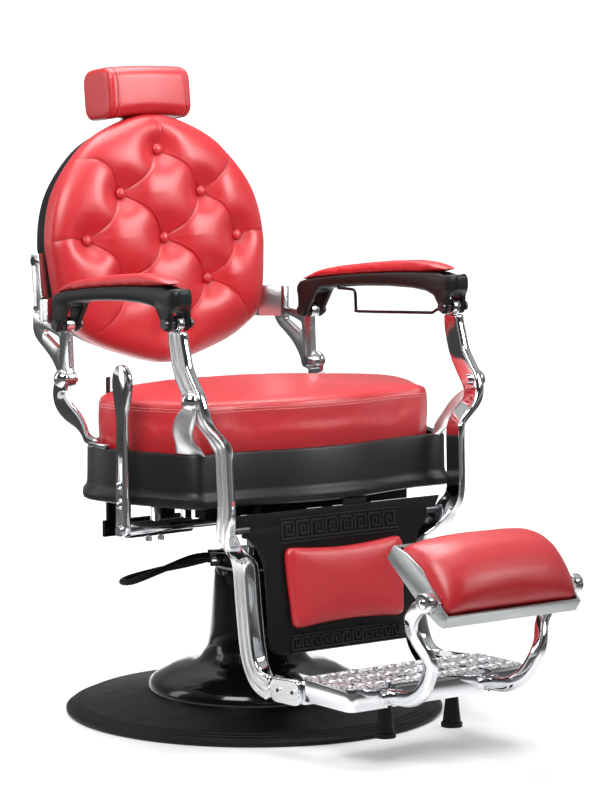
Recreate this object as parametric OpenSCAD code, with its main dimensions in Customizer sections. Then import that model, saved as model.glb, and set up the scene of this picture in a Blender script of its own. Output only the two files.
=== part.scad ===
// Barber chair, at rest. Millimetres, Z up, the sitter faces -Y, +X is the sitter's left.
// The origin is on the floor, under the column's axis. The far side is the sitter's left.

/* [Base] */
// Radius of the round base
base_r = 350; // [330:1:370]
// Height of the base's shallow dome where the column stands
base_h = 40; // [36:1:46]
// Width of the rubber ring round the base
edge_ring_w = 28; // [24:1:32]
// Height of the rubber ring
edge_ring_h = 22; // [18:1:24]
// Wall of the base casting
base_wall = 9; // [7:0.5:12]
// Thickness of the steel floor plate
floor_plate_t = 5; // [4:0.5:8]

/* [Column] */
// Radius of the column's flange
bell_r = 198; // [185:1:210]
// Height of the column's top above the floor
column_h = 268; // [258:1:276]
// Radius of the column at its top
column_top_r = 74; // [70:1:80]
// Wall of the column
column_wall = 6; // [5:0.5:8]
// Outer radius of the pump's cylinder
cylinder_r = 52; // [48:1:56]
// Wall of the pump's cylinder
cylinder_wall = 8; // [6:0.5:10]
// Radius of the piston rod
piston_r = 15; // [13:0.5:18]
// Height of the pump's head
pump_head_h = 24; // [22:1:28]
// Travel of the lift
lift_travel = 150; // [120:5:160]

/* [Foot pump pedal] */
// Bearing of the pedal round the column, in degrees from the left side
pedal_bearing = 151; // [140:1:165]
// Reach of the pedal's loop from the column's axis
pedal_reach = 252; // [230:1:270]
// Radius of the pedal's bent rod
pedal_rod_r = 6; // [5:0.5:7]
// Drop of the pedal's tip below its pivot
pedal_drop = 42; // [36:1:50]

/* [Seat] */
// Half width of the pan at its rim
pan_half_w = 355; // [350:1:360]
// Half length of the pan at its rim
pan_half_l = 240; // [236:1:244]
// Height of the pan's floor above the ground
pan_z = 420; // [418:1:424]
// Depth of the pan
pan_depth = 95; // [92:1:98]
// Flare of the pan's lower skirt
pan_flare = 10; // [6:1:12]
// Wall of the pan
pan_wall = 4; // [3:0.5:5]
// Width of the pan's rim ledge
pan_ledge_w = 19; // [17:1:19]
// Half width of the seat cushion
cushion_half_w = 335; // [328:1:336]
// Half length of the seat cushion
cushion_half_l = 217; // [212:1:220]
// Height of the cushion's top seam above the pan's rim
cushion_seam_h = 87; // [80:1:92]
// Crown of the cushion above its top seam
cushion_crown = 7; // [5:1:12]

/* [Side frames] */
// Distance of the rear pivots behind the column's axis
rear_pivot_y = 193; // [188:1:198]
// Height of the rear pivots
rear_pivot_z = 619; // [616:1:624]
// Distance of the front pivots ahead of the column's axis
front_pivot_y = 253; // [250:1:256]
// Height of the front pivots
front_pivot_z = 617; // [614:1:620]
// Height of the rear armrest pivots above the rear pivots
rear_post_h = 99; // [96:1:104]
// Height of the front armrest pivots above the front pivots
front_post_h = 131; // [128:1:134]
// Half width between the rear links' inner faces
link_x = 274; // [272:1:276]
// Thickness of a rear link
link_t = 17; // [15:0.5:18]
// Half width between the front bars' inner faces
bar_x = 303; // [302:1:306]
// Thickness of a front bar, across the chair
bar_t = 16; // [14:0.5:18]
// Depth of a front bar, along the chair
bar_d = 40; // [36:1:42]
// Thickness of a seat bracket
bracket_t = 8; // [6:0.5:10]
// Radius of the pivot pins
pin_r = 6; // [5:0.5:7]
// Radius of the domed caps on the pivots
cap_r = 17; // [15:0.5:19]

/* [Backrest] */
// Half width of the backrest
back_half_w = 248; // [240:1:252]
// Half height of the backrest
back_half_h = 237.5; // [232:0.5:240]
// Distance of the backrest's button plane behind the column's axis
back_y = 301; // [298:1:306]
// Height of the backrest's middle
back_z = 862; // [859:1:866]
// Lean of the backrest at rest, in degrees
back_lean = 6.5; // [5.5:0.5:7.5]
// Thickness of the backrest cushion at its edge, behind its widest line
back_edge_t = 14; // [12:1:20]
// Bulge of the backrest cushion ahead of its widest line
back_bulge = 44; // [38:1:48]
// Depth of the backrest's tufts
tuft_depth = 26; // [20:1:30]
// Radius of a tuft's button
button_r = 9.5; // [8:0.5:11]
// Thickness of the backrest's shell
shell_t = 34; // [30:1:36]

/* [Headrest] */
// Half width of the headrest
headrest_half_w = 95; // [88:1:102]
// Depth of the headrest
headrest_depth = 98; // [90:1:106]
// Height of the headrest
headrest_h = 100; // [94:1:106]
// Travel of the headrest
headrest_travel = 80; // [60:5:90]

/* [Armrests] */
// Width of an armrest
arm_w = 49; // [46:1:51]
// Length of an armrest
arm_l = 427; // [415:1:440]
// Reach of an armrest ahead of its front pivot
arm_nose = 19; // [17:0.5:22]
// Height of an armrest's top face above the front armrest pivot
arm_rise = 64; // [60:1:68]
// Thickness of a clevis ear
ear_t = 11; // [9:0.5:12]
// Radius of the towel bar's wire
towel_wire_r = 3; // [2.5:0.5:4]

/* [Leg frame] */
// Drop from the front pivot to the footplate's tabs
leg_drop = 505; // [500:1:508]
// Half width of the lower legs, at their middle
leg_x = 185; // [182:1:188]
// Height of the calf panel
panel_h = 252; // [246:1:256]
// Thickness of the calf panel
panel_t = 12; // [9:1:14]
// Half width of the calf pad
calf_pad_half_w = 131; // [124:1:134]
// Height of the calf pad
calf_pad_h = 142; // [136:1:146]
// Crown of the calf pad
calf_pad_crown = 13; // [9:1:16]
// Half width of the footplate
plate_half_w = 196; // [194:1:198]
// Depth of the footplate, front to back
plate_l = 140; // [134:1:146]
// Height of the footplate's rim
plate_h = 40; // [36:1:42]
// Height of the footplate's top above the floor
plate_top_z = 143; // [141:1:146]
// Distance of the footplate's front edge ahead of the column's axis
plate_front_y = 540; // [536:1:544]
// Length of a rubber foot below the footplate
foot_l = 68; // [60:1:72]

/* [Legrest] */
// Half width between the legrest arms' knuckles
knuckle_x = 108; // [104:1:112]
// Radius of a knuckle
knuckle_r = 15; // [13:0.5:16]
// Height of the knuckles' axis
knuckle_z = 121; // [120:1:123]
// Reach of the legrest's pivot ahead of the knuckles
legrest_reach = 170; // [166:1:176]
// Rise of the legrest's pivot above the knuckles
legrest_rise = 190; // [184:1:196]
// Half width of the legrest's tray
tray_half_w = 148; // [144:1:150]
// Length of the legrest's tray along its slope
tray_l = 176; // [168:1:184]
// Depth of the tray's sides
tray_h = 32; // [28:1:36]
// Crown of the legrest's cushion above the tray
legrest_crown = 26; // [20:1:30]

/* [Recline lever] */
// Distance of the recline lever's handle from the chair's middle
lever_x = 362; // [361:1:366]
// Length of the recline lever above its shaft
lever_l = 290; // [270:1:300]
// Radius of the lever's shaft
lever_shaft_r = 8; // [7:0.5:9]

/* [Hidden] */

// Radial gap of a running fit
run_fit = 0.05;
// Gap between faces of different bodies that pass each other
side_gap = 0.4;
// Gap between soft pieces and their neighbours
soft_gap = 0.4;
// How far a cut runs past what it cuts
over = 2;
// Play of the open front pivot, which the coupled armrests need
open_play = 2;
// Sides of round bodies
round_n = 96;
fine_n = 48;
small_n = 24;
// Rounding of a bar's corners, as a share of its thinner side
corner_share = 0.3;

red = [0.78, 0.07, 0.09];
chrome = [0.86, 0.87, 0.89];
satin = [0.11, 0.11, 0.12];
gloss = [0.04, 0.04, 0.045];
rubber = [0.06, 0.06, 0.06];
steel = [0.55, 0.56, 0.58];
wood = [0.62, 0.47, 0.30];

// Curves: a Catmull-Rom curve through hand-chosen points, k steps to a span.
function cr(a, b, c, d, t) = 0.5 * (2 * b + (c - a) * t + (2 * a - 5 * b + 4 * c - d) * t * t
    + (3 * b - a - 3 * c + d) * t * t * t);
function closed_curve(p, k) = let(n = len(p))
    [for (i = [0:n - 1]) for (j = [0:k - 1])
        cr(p[(i + n - 1) % n], p[i], p[(i + 1) % n], p[(i + 2) % n], j / k)];
function open_curve(p, k) = let(n = len(p))
    concat([for (i = [0:n - 2]) for (j = [0:k - 1])
        cr(p[max(i - 1, 0)], p[i], p[i + 1], p[min(i + 2, n - 1)], j / k)], [p[n - 1]]);
function scaled(p, s) = [for (q = p) [for (i = [0:len(s) - 1]) q[i] * s[i]]];
function mean(p, i = 0) = i == len(p) - 1 ? p[i] / len(p) : p[i] / len(p) + mean(p, i + 1);
// A rounded rectangle's outline, w by d, corner radius r, k steps to a corner.
function rounded(w, d, r, k) = [for (c = [0:3]) for (j = [0:k])
    let(a = 90 * c + 90 * j / k, sx = (c == 0 || c == 3) ? 1 : -1, sy = c < 2 ? 1 : -1)
    [sx * (w / 2 - r) + r * cos(a), sy * (d / 2 - r) + r * sin(a)]];

// A closed skin through rings of points, each ring counter-clockwise seen from the last one.
module skin(rings) {
    n = len(rings[0]);
    m = len(rings);
    points = concat([for (r = rings) each r], [mean(rings[0]), mean(rings[m - 1])]);
    sides = [for (i = [0:m - 2]) for (j = [0:n - 1])
        let(a = i * n + j, b = i * n + (j + 1) % n, c = a + n, d = b + n)
        each [[a, d, b], [a, c, d]]];
    caps = [for (j = [0:n - 1]) each [[j, (j + 1) % n, n * m],
        [(m - 1) * n + (j + 1) % n, (m - 1) * n + j, n * m + 1]]];
    polyhedron(points, concat(sides, caps));
}

// A cylinder along X from x0 to x1, at a place in the side view.
module along_x(y, z, r, x0, x1, n = fine_n) {
    translate([x0, y, z]) rotate([0, 90, 0]) cylinder(h = x1 - x0, r = r, $fn = n);
}
// A side-view outline made into a plate from x0 to x1.
module side_plate(outline, x0, x1) {
    translate([x0, 0, 0]) rotate([90, 0, 90]) linear_extrude(x1 - x0) polygon(outline);
}
// A box between two corners.
module block(low, high) {
    translate(low) cube(high - low);
}
function unit(v) = v / norm(v);
// A bent rod of n sides through points. No stretch of it runs along ref.
module bent_rod(p, r, ref, n = 10) {
    skin([for (i = [0:len(p) - 1])
        let(t = unit(p[min(i + 1, len(p) - 1)] - p[max(i - 1, 0)]), u = unit(cross(ref, t)), v = cross(t, u))
        [for (j = [0:n - 1]) p[i] + r * (cos(360 * j / n) * u + sin(360 * j / n) * v)]]);
}
// A bar whose rows are [x, y, z, width across, depth, turn about Z in degrees].
module bar(rows) {
    skin([for (i = [0:len(rows) - 1])
        let(q = rows[i], a = rows[max(i - 1, 0)], b = rows[min(i + 1, len(rows) - 1)],
            t = atan2(a[1] - b[1], b[2] - a[2]), yaw = q[5])
        [for (p = rounded(q[3], q[4], min(q[3], q[4]) * corner_share, 1))
            [q[0] + p[0] * cos(yaw) - p[1] * cos(t) * sin(yaw),
             q[1] + p[0] * sin(yaw) + p[1] * cos(t) * cos(yaw), q[2] + p[1] * sin(t)]]]);
}
// A low dome on a face, its rim at r and its height h.
module dome(r, h) {
    ball_r = (r * r + h * h) / (2 * h);
    intersection() {
        translate([0, 0, h - ball_r]) sphere(ball_r, $fn = fine_n);
        cylinder(h = h + over, r = r, $fn = fine_n);
    }
}
module both_sides() {
    children();
    mirror([1, 0, 0]) children();
}

// Base and column
floor_plate_in = 22;
well_gap = 8;
rubber_r = base_r - edge_ring_w;
floor_plate_r = rubber_r - floor_plate_in;
well_r = cylinder_r + well_gap;
ring_edge_h = 12;
ring_round = 4;
groove_count = 3;
groove_d = 1.2;
groove_place_shares = [0.4, 0.52, 0.64];
module base_floor_plate() color(steel) cylinder(h = floor_plate_t, r = floor_plate_r, $fn = round_n);
module base_casting() color(satin) rotate_extrude($fn = round_n) polygon([
    [rubber_r, 0], [rubber_r, edge_ring_h], [bell_r, base_h], [well_r, base_h],
    [well_r, base_h - base_wall], [bell_r, base_h - base_wall],
    [floor_plate_r, edge_ring_h - base_wall + floor_plate_t], [floor_plate_r, 0]]);
function ring_slope(t, dip) = [base_r - ring_round + (rubber_r - base_r + ring_round) * t,
    ring_edge_h + (edge_ring_h - ring_edge_h) * t - dip];
module base_edge_ring() color(rubber) rotate_extrude($fn = round_n) polygon(concat(
    [[rubber_r, 0], [base_r - ring_round, 0], [base_r, ring_round], [base_r, ring_edge_h - ring_round]],
    [for (g = [0:groove_count - 1], k = [0:2]) let(t = (g + groove_place_shares[k]) / groove_count)
        ring_slope(t, k == 1 ? groove_d : 0)],
    [[rubber_r, edge_ring_h]]));

// Outer and inner lines of the column, as shares of its flare and height
bell_shares = [[1, 0], [1, 0.025], [0.97, 0.075], [0.9, 0.11], [0.63, 0.184], [0.274, 0.228], [0.218, 0.26],
    [0.113, 0.346], [0.073, 0.456], [0.048, 0.627], [0.016, 0.886], [0, 0.975], [-0.02, 1]];
bell_inner_shares = [[0, 1], [0, 0.84], [0.01, 0.8], [0.035, 0.627], [0.06, 0.456], [0.1, 0.346], [0.2, 0.24],
    [0.27, 0.18], [0.62, 0.14], [0.89, 0.06], [0.97, 0]];
function bell_line(shares, r0) = [for (s = shares)
    [r0 + s[0] * (bell_r - column_top_r), base_h + s[1] * (column_h - base_h)]];
bush_l = 34;
bush_flange_t = 4;
bearing_t = 12;
module column_bell() color(gloss) rotate_extrude($fn = round_n) polygon(concat(
    bell_line(bell_shares, column_top_r), bell_line(bell_inner_shares, column_top_r - column_wall)));
module swivel_bush() color(steel) difference() {
    union() {
        translate([0, 0, column_h - bush_l])
            cylinder(h = bush_l, r = column_top_r - column_wall, $fn = round_n);
        translate([0, 0, column_h])
            cylinder(h = bush_flange_t, r = column_top_r - ring_round, $fn = round_n);
    }
    translate([0, 0, column_h - bush_l - over])
        cylinder(h = bush_l + bush_flange_t + 2 * over, r = cylinder_r + run_fit, $fn = round_n);
}
module thrust_bearing() color(steel) translate([0, 0, floor_plate_t]) difference() {
    cylinder(h = bearing_t, r = cylinder_r, $fn = round_n);
    translate([0, 0, -over]) cylinder(h = bearing_t + 2 * over, r = cylinder_r / 2, $fn = round_n);
}

// Pump
cylinder_z = floor_plate_t + bearing_t;
cylinder_floor_t = 8;
head_z = column_h + bush_flange_t + side_gap;
head_in = 6;
head_r = column_top_r - head_in;
pedal_pivot_r = head_r + head_in;
pedal_pin_r = 5;
pedal_boss_r = 11;
pedal_boss_l = 30;
pedal_ear_t = 9;
pedal_pivot_z = head_z + pump_head_h - pedal_boss_r;
module pump_cylinder() color(steel) difference() {
    translate([0, 0, cylinder_z]) cylinder(h = head_z - cylinder_z, r = cylinder_r, $fn = round_n);
    translate([0, 0, cylinder_z + cylinder_floor_t])
        cylinder(h = head_z, r = cylinder_r - cylinder_wall, $fn = round_n);
}
module at_pedal() translate([0, 0, pedal_pivot_z]) rotate([0, 0, pedal_bearing])
    translate([pedal_pivot_r, 0, 0]) children();
module pedal_bore(r, half) rotate([-90, 0, 0]) translate([0, 0, -half])
    cylinder(h = 2 * half, r = r, $fn = fine_n);
module pump_head() color(gloss) difference() {
    union() {
        translate([0, 0, head_z]) cylinder(h = pump_head_h, r = head_r, $fn = round_n);
        at_pedal() for (side = [-1, 1]) translate([-pedal_boss_r * 2, side * (pedal_boss_l + pedal_ear_t) / 2
            - pedal_ear_t / 2, head_z - pedal_pivot_z])
            cube([pedal_boss_r * 3, pedal_ear_t, pump_head_h]);
    }
    translate([0, 0, head_z - over])
        cylinder(h = pump_head_h + 2 * over, r = piston_r + run_fit, $fn = round_n);
    at_pedal() translate([-pedal_boss_r * 1.6, -pedal_boss_l / 2, -pump_head_h])
        cube([pedal_boss_r * 4, pedal_boss_l, 2 * pump_head_h + over]);
    at_pedal() pedal_bore(pedal_pin_r + run_fit, pedal_boss_l);
}
module pedal_pin() color(chrome) at_pedal() {
    pedal_bore(pedal_pin_r, pedal_boss_l / 2 + pedal_ear_t);
    for (side = [-1, 1]) rotate([-90 * side, 0, 0]) translate([0, 0, pedal_boss_l / 2 + pedal_ear_t])
        dome(pedal_pin_r * 1.6, pedal_pin_r * 0.7);
}
// The pedal's loop, near leg out and far leg back, as shares of its length, half width and drop
pedal_shares = [[0.02, 0.3, 0.06], [0.12, 0.42, 0.12], [0.3, 0.85, 0.02], [0.6, 1.08, -0.45],
    [0.84, 1.02, -0.84], [0.94, 0.72, -0.97], [1, 0, -1], [0.94, -0.72, -0.94], [0.84, -0.98, -0.84],
    [0.6, -0.95, -0.6], [0.3, -0.75, -0.36], [0.12, -0.42, -0.16], [0.02, -0.3, -0.04]];
pedal_loop_w = 44;
module pump_pedal() color(rubber) at_pedal() {
    difference() {
        union() {
            pedal_bore(pedal_boss_r, pedal_boss_l / 2 - side_gap);
            bent_rod(open_curve(scaled(pedal_shares, [pedal_reach - pedal_pivot_r - pedal_rod_r,
                pedal_loop_w / 2, pedal_drop]), 3), pedal_rod_r, [0, 0, 1]);
        }
        pedal_bore(pedal_pin_r + run_fit, pedal_boss_l);
    }
}

// Lift and seat frame
frame_h = 26;
hub_plate_t = 8;
hub_plate_l = 140;
hub_collar_r = 26;
hub_collar_h = 12;
piston_guide = 88;
piston_z = column_h - lift_travel - piston_guide;
piston_head_h = 18;
rail_w = 30;
rail_x = 110;
hub_plate_w = 2 * rail_x + rail_w;
rail_l = 380;
cross_rail_y = 150;
cross_rail_l = 460;
frame_z = pan_z - frame_h;
hub_z = frame_z - hub_plate_t;
seat_y = -8;
module piston() color(chrome) {
    translate([0, 0, piston_z]) cylinder(h = hub_z - piston_z, r = piston_r, $fn = round_n);
    translate([0, 0, piston_z]) cylinder(h = piston_head_h, r = cylinder_r - cylinder_wall - run_fit,
        $fn = round_n);
}
module seat_hub() color(satin) difference() {
    union() {
        block([-hub_plate_w / 2, -hub_plate_l / 2, hub_z], [hub_plate_w / 2, hub_plate_l / 2, frame_z]);
        translate([0, 0, hub_z - hub_collar_h]) cylinder(h = hub_collar_h, r = hub_collar_r, $fn = fine_n);
    }
    translate([0, 0, hub_z - hub_collar_h - over])
        cylinder(h = hub_collar_h + over, r = piston_r + run_fit, $fn = round_n);
}
module seat_frame() color(satin) {
    for (side = [-1, 1]) {
        block([side * rail_x - rail_w / 2, -rail_l / 2, frame_z],
            [side * rail_x + rail_w / 2, rail_l / 2, pan_z]);
        block([-cross_rail_l / 2, side * cross_rail_y - rail_w / 2, frame_z],
            [cross_rail_l / 2, side * cross_rail_y + rail_w / 2, pan_z]);
    }
}

// Seat
// The seat's plan, right half from the front to the rear, as shares of its half width and half length
seat_plan_shares = [[0, -1], [0.18, -0.985], [0.36, -0.925], [0.56, -0.865], [0.7, -0.865], [0.77, -0.865],
    [0.81, -0.81], [0.845, -0.71], [0.885, -0.56], [0.945, -0.35], [0.985, -0.14], [1, 0.06], [0.945, 0.24],
    [0.8, 0.48], [0.6, 0.72], [0.33, 0.9], [0, 0.96]];
// The cushion's own plan, with its front corners drawn in from the brackets' feet
cushion_plan_shares = [[0, -1], [0.18, -0.985], [0.36, -0.925], [0.54, -0.875], [0.67, -0.87], [0.77, -0.84],
    [0.805, -0.76], [0.835, -0.64], [0.885, -0.5], [0.945, -0.33], [0.985, -0.14], [1, 0.06], [0.945, 0.24],
    [0.8, 0.48], [0.6, 0.72], [0.33, 0.9], [0, 0.96]];
function plan_ring(shares) = let(n = len(shares)) closed_curve(concat(shares,
    [for (i = [1:n - 2]) [-shares[n - 1 - i][0], shares[n - 1 - i][1]]]), 2);
pan_plan = plan_ring(seat_plan_shares);
cushion_plan = plan_ring(cushion_plan_shares);
rim_z = pan_z + pan_depth;
board_t = 12;
cushion_z = pan_z + pan_wall + board_t;
seam_z = rim_z + cushion_seam_h;
function pan_ring(o, z) = [for (p = pan_plan)
    [p[0] * (pan_half_w + o), p[1] * (pan_half_l + o) + seat_y, z]];
// The pan's section: how far out, as shares of its flare, and how high, as shares of its depth
pan_outer_shares = [[-1.6, 0], [0.4, 0.01], [0.9, 0.04], [1, 0.1], [0.9, 0.19], [0.3, 0.25], [0.1, 0.34],
    [0, 0.96], [-0.2, 1]];
module seat_pan() color(satin) skin(concat(
    [for (s = pan_outer_shares) pan_ring(s[0] * pan_flare, pan_z + s[1] * pan_depth)],
    [pan_ring(-pan_ledge_w, rim_z), pan_ring(-pan_ledge_w, rim_z - pan_wall),
        pan_ring(-pan_wall, rim_z - pan_wall),
     pan_ring(-pan_wall, pan_z + 2 * pan_flare), pan_ring(-2 * pan_flare, pan_z + pan_wall)]));
module seat_board() color(wood) translate([0, seat_y, pan_z + pan_wall]) linear_extrude(board_t)
    polygon(scaled(cushion_plan, [cushion_half_w - board_t, cushion_half_l - board_t]));
function cushion_ring(o, s, z) = [for (p = cushion_plan)
    [p[0] * s * (cushion_half_w + o), p[1] * s * (cushion_half_l + o) + seat_y, z]];
// Side of the cushion: how far out as shares of its crown, how high as shares from its foot to its seam
cushion_side_shares = [[-1.6, 0], [-0.6, 0.03], [0, 0.12], [0, 0.45], [0.3, 0.7], [0.2, 0.9], [-0.2, 1]];
// Top of the cushion: size as shares of its plan, and height as shares of its crown
cushion_top_shares = [[0.975, 0.22], [0.92, 0.45], [0.82, 0.65], [0.66, 0.82], [0.45, 0.93], [0.2, 0.99]];
module seat_cushion() color(red) skin(concat(
    [for (s = cushion_side_shares) cushion_ring(s[0] * cushion_crown, 1,
        cushion_z + s[1] * (seam_z - cushion_z))],
    [for (s = cushion_top_shares) cushion_ring(0, s[0], seam_z + s[1] * cushion_crown)]));
// The pull tab at the seat cushion's right
tab_w = 16;
tab_t = 4;
tab_h = 34;
tab_turn = 38;
tab_place_shares = [0.7058, 0.599];
module cushion_tab() color(rubber)
    translate([-cushion_half_w * tab_place_shares[0], seat_y + cushion_half_l * tab_place_shares[1], seam_z])
        rotate([0, 0, tab_turn]) translate([-tab_w / 2, soft_gap / 2 + cushion_crown * 0.3, -tab_h * 0.35])
            cube([tab_w, tab_t, tab_h]);

// Side frames
eye_wall = 11;
eye_r = pin_r + eye_wall;
bracket_rear_x = link_x + link_t + side_gap;
bracket_front_x = bar_x + bar_t + side_gap;
nut_t = 8;
nut_r = pin_r * 1.6;
cap_h = cap_r * 0.65;
// The rear bracket's way from its pivot to the pan's ledge. Shares of the pivot's height above the
// rim, from the pivot: outward, forward, down, and then its thickness and depth of a bracket's own
rear_bracket_shares = [[0, 0, 0.06, 1, 4], [0, -0.05, 0.22, 1, 5.4], [0.02, 0.02, 0.38, 1, 5.6],
    [0.05, 0.3, 0.56, 1, 4.6], [0.1, 0.68, 0.68, 1.1, 3.6], [0.26, 1.1, 0.8, 1.2, 2.8],
    [0.42, 1.45, 0.9, 1.3, 2.2], [0.48, 1.85, 0.93, 1.3, 1.6]];
rear_foot_share = 1.9;
rear_foot_w = 14;
rear_foot_l = 52;
rear_foot_t = 8;
module rear_bracket() {
    drop = rear_pivot_z - rim_z;
    mid = bracket_rear_x + bracket_t / 2;
    foot_x = pan_half_w - over - rear_foot_w;
    difference() {
        union() {
            along_x(rear_pivot_y, rear_pivot_z, eye_r, bracket_rear_x, bracket_rear_x + bracket_t);
            bar([for (s = rear_bracket_shares) [mid + s[0] * drop, rear_pivot_y - s[1] * drop,
                rear_pivot_z - s[2] * drop, s[3] * bracket_t, s[4] * bracket_t, 0]]);
            block([foot_x, rear_pivot_y - rear_foot_share * drop - rear_foot_l / 2, rim_z],
                [foot_x + rear_foot_w, rear_pivot_y - rear_foot_share * drop + rear_foot_l / 2,
                    rim_z + rear_foot_t]);
        }
        along_x(rear_pivot_y, rear_pivot_z, pin_r + run_fit, bracket_rear_x - over,
            bracket_rear_x + bracket_t + over);
        below_rim();
    }
}
module below_rim() translate([0, 0, rim_z - rear_foot_t]) linear_extrude(rear_foot_t)
    square(4 * pan_half_w, center = true);
// The front bracket's way, as shares: out from its foot to its pivot, the same along the chair,
// height above the rim, then thickness and depth in bracket thicknesses, and its turn in degrees
front_bracket_shares = [[1, 1, 0.96, 1, 4, 0], [1, 0.95, 0.8, 1, 4.4, 0], [0.93, 0.75, 0.66, 1.1, 5, -10],
    [0.75, 0.45, 0.5, 1.2, 6, -22], [0.5, 0.22, 0.34, 1.3, 6.4, -32], [0.25, 0.1, 0.2, 1.5, 6.4, -38],
    [0.05, 0.02, 0.07, 1.75, 6.4, -40], [0, 0, 0, 1.8, 6.4, -40]];
// Where the front bracket's foot stands on the ledge, across and along
foot_corner_shares = [0.805, 0.8];
module front_bracket() {
    rise = front_pivot_z - rim_z;
    mid = bracket_front_x + bracket_t / 2;
    foot = [(pan_half_w - pan_ledge_w / 2) * foot_corner_shares[0],
        seat_y - (pan_half_l - pan_ledge_w / 2) * foot_corner_shares[1]];
    rows = [for (s = front_bracket_shares) [foot[0] + s[0] * (mid - foot[0]),
        foot[1] + s[1] * (-front_pivot_y - foot[1]), rim_z + s[2] * rise, s[3] * bracket_t,
            s[4] * bracket_t, s[5]]];
    difference() {
        union() {
            along_x(-front_pivot_y, front_pivot_z, eye_r, bracket_front_x, bracket_front_x + bracket_t);
            bar(rows);
        }
        along_x(-front_pivot_y, front_pivot_z, pin_r + run_fit, bracket_front_x - over,
            bracket_front_x + bracket_t + over);
        below_rim();
    }
}
module rear_bracket_left() color(chrome) rear_bracket();
module rear_bracket_right() color(chrome) mirror([1, 0, 0]) rear_bracket();
module front_bracket_left() color(chrome) front_bracket();
module front_bracket_right() color(chrome) mirror([1, 0, 0]) front_bracket();
module pivot_bolt(y, z, x_in, x_out) {
    along_x(y, z, pin_r, x_in - nut_t, x_out);
    along_x(y, z, nut_r, x_in - nut_t, x_in - side_gap);
    translate([x_out, y, z]) rotate([0, 90, 0]) dome(cap_r, cap_h);
}
module pivot_bolts() color(chrome) both_sides() {
    pivot_bolt(rear_pivot_y, rear_pivot_z, link_x, bracket_rear_x + bracket_t);
    pivot_bolt(-front_pivot_y, front_pivot_z, bar_x, bracket_front_x + bracket_t);
}

// Recline lock
lock_x = 55;
lock_r = 14;
lock_rod_r = 6;
lock_end = 15;
lock_l = 2 * (cross_rail_y + lock_end);
lock_gap = 6;
lock_z = hub_z - lock_r - lock_gap;
panel_lean = 6.3;
panel_y = -255;
panel_drop = 11;
panel_z = pan_z - panel_drop;
crossbar_t = 9;
crossbar_h = 34;
crossbar_w = 400;
crossbar_drop = 9;
crossbar_y = panel_y + panel_t + crossbar_t;
push_plate_t = 6;
push_plate_w = 50;
module lock_cylinder() color(gloss) difference() {
    union() {
        translate([lock_x, -lock_l / 2, lock_z]) rotate([-90, 0, 0])
            cylinder(h = lock_l, r = lock_r, $fn = fine_n);
        for (side = [-1, 1]) block([lock_x - lock_r / 2, side * cross_rail_y - rail_w / 4, lock_z],
            [lock_x + lock_r / 2, side * cross_rail_y + rail_w / 4, frame_z]);
    }
    translate([lock_x, -lock_l / 2 - over, lock_z]) rotate([-90, 0, 0])
        cylinder(h = lock_l - lock_r, r = lock_rod_r + run_fit, $fn = fine_n);
}
module lock_rod() color(chrome) {
    translate([lock_x, crossbar_y + side_gap, lock_z]) rotate([-90, 0, 0])
        cylinder(h = lock_l / 2 + cross_rail_y / 2, r = lock_rod_r, $fn = fine_n);
    block([lock_x - push_plate_w / 2, crossbar_y + side_gap, lock_z - lock_r],
        [lock_x + push_plate_w / 2, crossbar_y + side_gap + push_plate_t, pan_z - 2 * over]);
}

// Back frame
screw_r = 5;
head_screw_r = 9;
head_screw_h = 5;
// The link plate in the side view, as shares of its length to the rear from the rear pivot, and of
// its rise above the pivot. Behind it a jog leads in to the mounting bar beside the shell
link_l = 140;
link_rise = 136;
link_plate_t = 12;
link_shares = [[0.16, 0.68], [0.33, 0.71], [0.53, 0.72], [0.7, 0.77], [0.78, 0.84], [0.79, 0.92], [0.8, 0.62],
    [0.73, 0.5], [0.64, 0.43], [0.57, 0.39], [0.36, 0.24], [0.21, 0.06], [0.14, -0.09], [-0.04, -0.09],
    [-0.06, 0.13], [-0.04, 0.51], [-0.02, 0.68]];
slot_shares = [[0.56, 0.575], [0.51, 0.63], [0.21, 0.56], [0.165, 0.5], [0.19, 0.39], [0.49, 0.53]];
mount_bar_x = 240;
mount_bar_t = 14;
mount_bar_w = 28;
mount_bar_in = 49.5;
mount_screw_h = [-31, -137];
mount_bar_over = 13;
// The jog in plan: how far across, from the bar to the link, and how far to the rear, in link lengths
jog_shares = [[1, 0.57], [1, 0.64], [0, 0.88], [0, 1.12]];
jog_z_shares = [0.6, 1.03];
link_eye_r = 15;
rear_post_back = 2;
rear_post_y = rear_pivot_y + rear_post_back;
rear_post_z = rear_pivot_z + rear_post_h;
module at_back() translate([0, back_y, back_z]) rotate([-back_lean, 0, 0]) children();
module mount_hole(r, x0, x1) for (h = mount_screw_h) at_back() along_x(mount_bar_in, h, r, x0, x1);
module link_side(shares, x0, x1) translate([0, rear_pivot_y, rear_pivot_z])
    side_plate(closed_curve(scaled(shares, [link_l, link_rise]), 4), x0, x1);
function jog_line(x0, x1, shift) = [for (s = jog_shares)
    [x0 + s[0] * (x1 - x0), rear_pivot_y + s[1] * link_l + shift * (s[0] < 1 && s[1] < 1 ? 1 : 0)]];
module link_jog() {
    inner = jog_line(mount_bar_x, link_x, -mount_bar_t / 2);
    outer = jog_line(mount_bar_x + mount_bar_t, link_x + link_plate_t, mount_bar_t / 2);
    translate([0, 0, rear_pivot_z + jog_z_shares[0] * link_rise])
        linear_extrude((jog_z_shares[1] - jog_z_shares[0]) * link_rise)
            polygon(concat(outer, [for (i = [len(inner) - 1:-1:0]) inner[i]]));
}
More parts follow.
